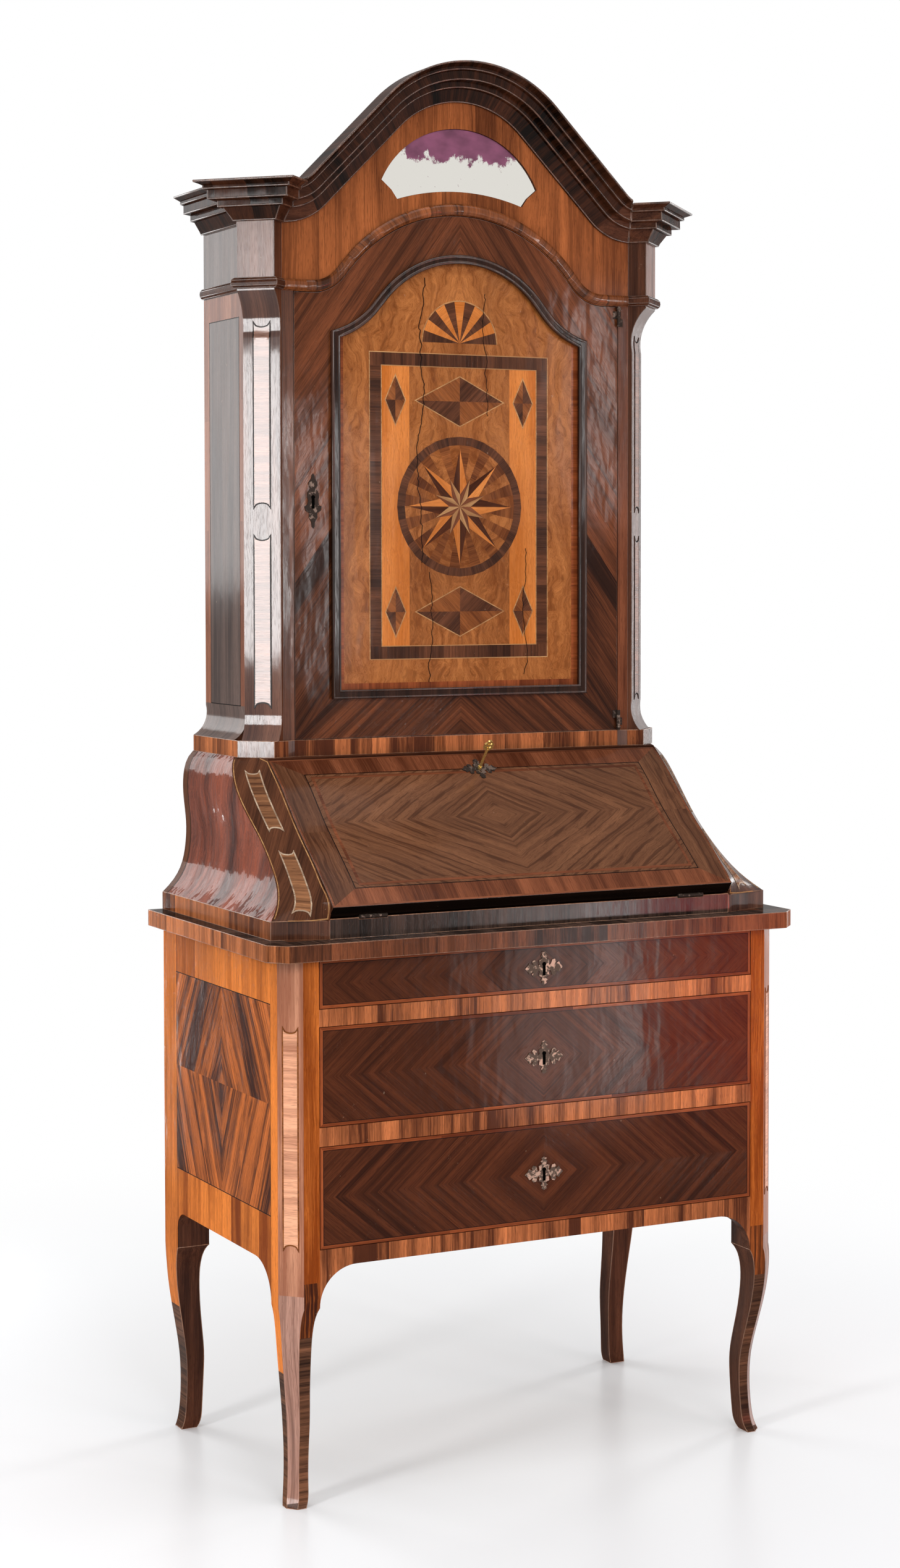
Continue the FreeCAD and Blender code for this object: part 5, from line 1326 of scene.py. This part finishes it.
EDGE_WOOD = wood("rubbed_edge", (104, 66, 44), (186, 136, 102), axis="Z", bands=60, lines=0.3,
                 polish=0.9, gloss=0.14)
EDGE_DARK = wood("rubbed_dark_edge", (44, 27, 20), (128, 92, 74), axis="Z", bands=60, lines=0.3,
                 polish=0.9, gloss=0.14)
EDGE_BEAD = wood("bead_round", (22, 13, 9), (84, 52, 38), axis="Z", bands=60, lines=0.3,
                 polish=0.8, gloss=0.1)


def out_of_back(middle, first, second):
    return middle.y < 0.262 and min(first.y, second.y) < 0.9 and max(first.y, second.y) < 0.9


def to_front(middle, first, second):
    return min(first.y, second.y) < -0.3


rubbed("cornice_edges", ("cornice_arch", "cornice_left", "cornice_right"), EDGE_DARK,
       lambda m, f, g: out_of_back(m, f, g) and abs(f.x) + abs(g.x) < 1.999, radius=0.0015)
rubbed("frieze_edges", ("frieze_moulding",), EDGE_DARK, out_of_back, sharp=30)
rubbed("slab_edges", ("slab", "cabinet_base", "desk_ledge"), EDGE_WOOD, out_of_back)
rubbed("desk_edges", ("desk_side_left", "desk_side_right"), EDGE_WOOD,
       lambda m, f, g: abs(m.x) > 0.37 and m.y < 0.25 and out_of_back(m, f, g),
       radius=0.0008, sharp=30)
rubbed("leg_edges", ("leg_front_left", "leg_front_right", "leg_back_left", "leg_back_right"),
       EDGE_WOOD, lambda m, f, g: m.z < 0.42, radius=0.0008, sharp=30)
rubbed("pilaster_edges", ("pilaster_left", "pilaster_right"), EDGE_DARK,
       lambda m, f, g: m.y < 0.07 and min(f.z, g.z) > -0.9 and max(f.z, g.z) < 0.9, sharp=30)
rubbed("fall_edges", ("fall_board",), EDGE_DARK,
       lambda m, f, g: max(f.dot(fall.out), g.dot(fall.out)) > 0.6, sharp=40, body="fall")
for drawer in DRAWERS:
    rubbed(drawer + "_drawer_edges", (drawer + "_drawer_front",), RED_BAND,
           lambda m, f, g: min(f.y, g.y) < -0.9, radius=0.0007, body=drawer + "_drawer")
rubbed("frame_edges", ("door_frame",), EDGE_DARK, to_front, sharp=30, body="door")
rubbed("bead_rounds", ("door_bead",), EDGE_BEAD, to_front, radius=0.0034, sharp=30, body="door")

# %% [markdown]
# ## Cracks in the panel
# The panel's boards have shrunk across the grain, and the veneer over their joints
# has torn in fine, jagged lines. A crack is let in like a string, but its points
# wander.

# %% Cracks
chance = random.Random(12)


def crack(a, start, end, drift, width):
    points, place, b = [], a, start
    while b > end:
        points.append((place, b))
        place += chance.uniform(-drift, drift) + (a - place) * 0.08
        b -= chance.uniform(0.003, 0.011)
    return string(points, width, EBONY, proud=0.0008, tone=0.2)


lay("panel_cracks", panel,
    [crack(-0.066, 1.952, 1.475, 0.0035, 0.0011), crack(-0.058, 1.46, 1.272, 0.003, 0.0009),
     crack(0.048, 1.93, 1.72, 0.003, 0.0008), crack(0.126, 1.5, 1.28, 0.002, 0.0008)],
    body="door")

# %% [markdown]
# ## Iron, brass and looking-glass
# The plates and hinges were cut from sheet iron and filed. They have gone dark
# brown, and the drawers' plates are given a paler iron than the rest.
# The key is brass. The glass is old and silvered on its back, and the silver has
# turned plum-dark along the upper edge, where damp got in behind it.

# %% Metals and glass
GLASS_TOP, GLASS_RUN, GLASS_RAGGED = 2.2026, 0.05, 0.09


def old_metal(name, deep, bright, rough, share):
    """Metal with a dark skin that is rubbed through in places."""
    made, tree = new_material(name)
    place = add(tree, "TexCoord").outputs["Object"]
    fine = noise(tree, place, (150, 150, 150), 3.0, 0.6)
    broad = noise(tree, place, (40, 40, 40), 2.0)
    worn = steps(tree, maths(tree, "MULTIPLY_ADD", broad, 0.7, fine), 0.98 - share, 1.06 - share)
    bump = add(tree, "Bump", {"Strength": 0.35, "Distance": 0.0006, "Height": worn})
    surface(tree, {"Base Color": mixed(tree, worn, sRGB(*deep), sRGB(*bright)),
                   "Roughness": steps(tree, worn, 0, 1, rough + 0.2, rough),
                   "Metallic": steps(tree, worn, 0, 1, 0.4, 0.8), "Specular IOR Level": 0.2,
                   "Normal": bump.outputs[0]})
    return made


def covered(node, finish):
    """One finish for a whole node."""
    nodes[node].data.materials.clear()
    nodes[node].data.materials.append(finish)


IRON = old_metal("old_iron", (46, 36, 30), (108, 92, 82), 0.46, 0.08)
PLATE_IRON = old_metal("plate_iron", (82, 68, 58), (146, 126, 110), 0.42, 0.14)
BRASS = old_metal("old_brass", (96, 72, 34), (222, 190, 116), 0.24, 0.3)

silver, tree = new_material("old_silvering")
place = add(tree, "TexCoord").outputs["Object"]
height = add(tree, "SeparateXYZ", {0: place}).outputs["Z"]
ragged = maths(tree, "SUBTRACT", noise(tree, place, (30, 1, 22), 5.0, 0.7), 0.5)
depth = maths(tree, "ADD", maths(tree, "SUBTRACT", GLASS_TOP, height),
              maths(tree, "MULTIPLY", ragged, GLASS_RAGGED))
turned = steps(tree, depth, GLASS_RUN + 0.003, GLASS_RUN - 0.002)
spots = steps(tree, noise(tree, place, (160, 1, 160), 2.0), 0.7, 0.74)
gone = maths(tree, "MAXIMUM", turned, maths(tree, "MULTIPLY", spots, 0.3))
plum = mixed(tree, noise(tree, place, (24, 1, 40), 3.0), sRGB(40, 8, 26), sRGB(150, 84, 116))
surface(tree, {"Base Color": mixed(tree, gone, sRGB(222, 219, 212), plum),
               "Metallic": steps(tree, turned, 0, 1, 1.0, 0.5),
               "Roughness": steps(tree, turned, 0, 1, 0.06, 0.3)})

BEAD = wood("bead_wood", (20, 11, 8), (64, 38, 27), axis="Z", bands=60, lines=0.3, polish=0.2,
            gloss=0.08)
FINISHES = {"door_bead": BEAD, "tympanum_mirror": silver, "fall_key": BRASS}
FINISHES |= {drawer + "_drawer_lock": PLATE_IRON for drawer in DRAWERS}
for row in frame["record"]["subparts"]:
    if row["material_slot"] not in SLOT_WOODS:
        FINISHES.setdefault(row["node"], IRON)
for node, finish in FINISHES.items():
    covered(node, finish)
print("metals and glass on", sorted(FINISHES))

# %% [markdown]
# ## Keyholes
# A lock behind its plate is a black hole with no floor. The dark of each keyhole
# is painted shade: a leaf of black over the bore, a round bow above a straight slot.

# %% Show the keyholes
BORE_HALF, BOW_RADIUS, BOW_RISE, SLOT_FOOT = 0.0026, 0.0035, 0.006, -0.0125
BORE_PROUD, BORE_SINK, BOW_STEPS = 0.0003, 0.001, 18

# A flat black for the keyholes: painted shade of the inside of each hole.
bore_shade, tree = new_material("keyhole_dark_shade")
surface(tree, {"Base Color": sRGB(7, 6, 5), "Roughness": 0.9, "Specular IOR Level": 0.0})


def keyhole(plate, body):
    """A black leaf of painted shade in the shape of a keyhole, closed, over the middle of a plate.
    """
    low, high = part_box(plate)
    x, z, front = (low[0] + high[0]) / 2, (low[2] + high[2]) / 2, low[1] - BORE_PROUD
    start = math.asin(BORE_HALF / BOW_RADIUS) - math.pi / 2
    turn = (math.pi - 2 * start) / BOW_STEPS
    ring = [(BORE_HALF, SLOT_FOOT)]
    ring += [(BOW_RADIUS * math.cos(start + turn * i), BOW_RISE + BOW_RADIUS *
              math.sin(start + turn * i)) for i in range(BOW_STEPS + 1)]
    ring += [(-BORE_HALF, SLOT_FOOT)]
    count = len(ring)
    data = bpy.data.meshes.new(plate + "_keyhole_shade")
    data.from_pydata([(x + a, y, z + b) for y in (front, front + BORE_SINK) for a, b in ring], [],
                     [tuple(range(count)), tuple(range(2 * count - 1, count - 1, -1))]
                     + [((i + 1) % count, i, i + count, (i + 1) % count + count)
                        for i in range(count)])
    data.materials.append(bore_shade)
    piece_of(plate + "_keyhole_shade", data, body)


for drawer in DRAWERS:
    keyhole(drawer + "_drawer_lock", drawer + "_drawer")
keyhole("door_plate", "door")

# %% [markdown]
# ## Boards and nails at the back
# A back was never meant to be seen. It is made of wide pine boards, set edge to
# edge and held by forged nails, whose heads are low domes. The boards are leaves
# like any others, with a dark line where two of them meet. The nails repeat, so a
# tree of geometry nodes sets one small dome on every point of a plain mesh.

# %% Board the back
NAIL_RADIUS, NAIL_FLATTEN, NAIL_FINENESS = 0.0036, 0.4, 2
NAIL_IN, NAIL_STRAY = 0.012, 0.003

tree, given, result = geometry_tree("nail_heads", [("Radius", "Float"), ("Flatten", "Float")])
dome = add(tree, "GeometryNodeMeshIcoSphere",
           {"Radius": given["Radius"], "Subdivisions": NAIL_FINENESS}).outputs[0]
squash = add(tree, "CombineXYZ", {0: 1.0, 1: given["Flatten"], 2: 1.0}).outputs[0]
head = add(tree, "GeometryNodeTransform", {"Geometry": dome, "Scale": squash}).outputs[0]
heads = add(tree, "GeometryNodeInstanceOnPoints", {"Points": given["Geometry"], "Instance": head})
finished(tree, heads.outputs[0], given, result)

chance = random.Random(41)
for name, along, widths in (("cabinet_back", "a", (0.11, 0.18)), ("desk_back", "b", (0.1, 0.15)),
                            ("case_back", "b", (0.12, 0.19))):
    back = Ground(name, BACKWARD)
    line = "ab".index(along)
    ends = (back.box[1 - line], back.box[3 - line])
    boards = banding(box_outline(*back.box), PINE_BOARD, widths, along=along, tones=(0.25, 0.75))
    seams = sorted(max(p[line] for p in leaf.parts[0]) for leaf in boards)
    strings = [string([(seam, end) if along == "a" else (end, seam) for end in ends], FINE_LINE,
                      EBONY) for seam in seams[:-1]]
    lay(name + "_boards", back, boards + strings)
    edges = [back.box[line]] + seams
    spots = [(low + (high - low) * share, end) for low, high in zip(edges, edges[1:])
             for share in (0.2, 0.8) for end in (ends[0] + NAIL_IN, ends[1] - NAIL_IN)]
    flat = [spot if along == "a" else spot[::-1] for spot in spots]
    depth = BACKWARD * (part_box(name)[1].y + LEAF_PROUD)
    dots = bpy.data.meshes.new(name + "_spots")
    dots.from_pydata([back.across * (a + chance.uniform(-NAIL_STRAY, NAIL_STRAY)) + depth
                      + back.up * (b + chance.uniform(-NAIL_STRAY, NAIL_STRAY))
                      for a, b in flat], [], [])
    piece_of(name + "_nails", grown(dots, tree, {
        "Radius": NAIL_RADIUS, "Flatten": NAIL_FLATTEN, "Material": IRON}), "carcase")
    print(name, len(boards), "boards", len(flat), "nails")

# %% [markdown]
# ## Finish the plain boards
# Every node still without a finish of its own gets the plain wood of its slot
# here, with the grain along its longest side. Only a drawer's sides run the other
# way, front to back.

# %% Boards without veneer
for row in frame["record"]["subparts"]:
    node, kind = row["node"], row["material_slot"]
    if kind in SLOT_WOODS and node not in FINISHES:
        low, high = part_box(node)
        size = high - low
        axis = "XYZ"[max(range(3), key=lambda i: size[i])]
        covered(node, SLOT_WOODS[kind]["Y" if node.endswith("drawer_sides") else axis])
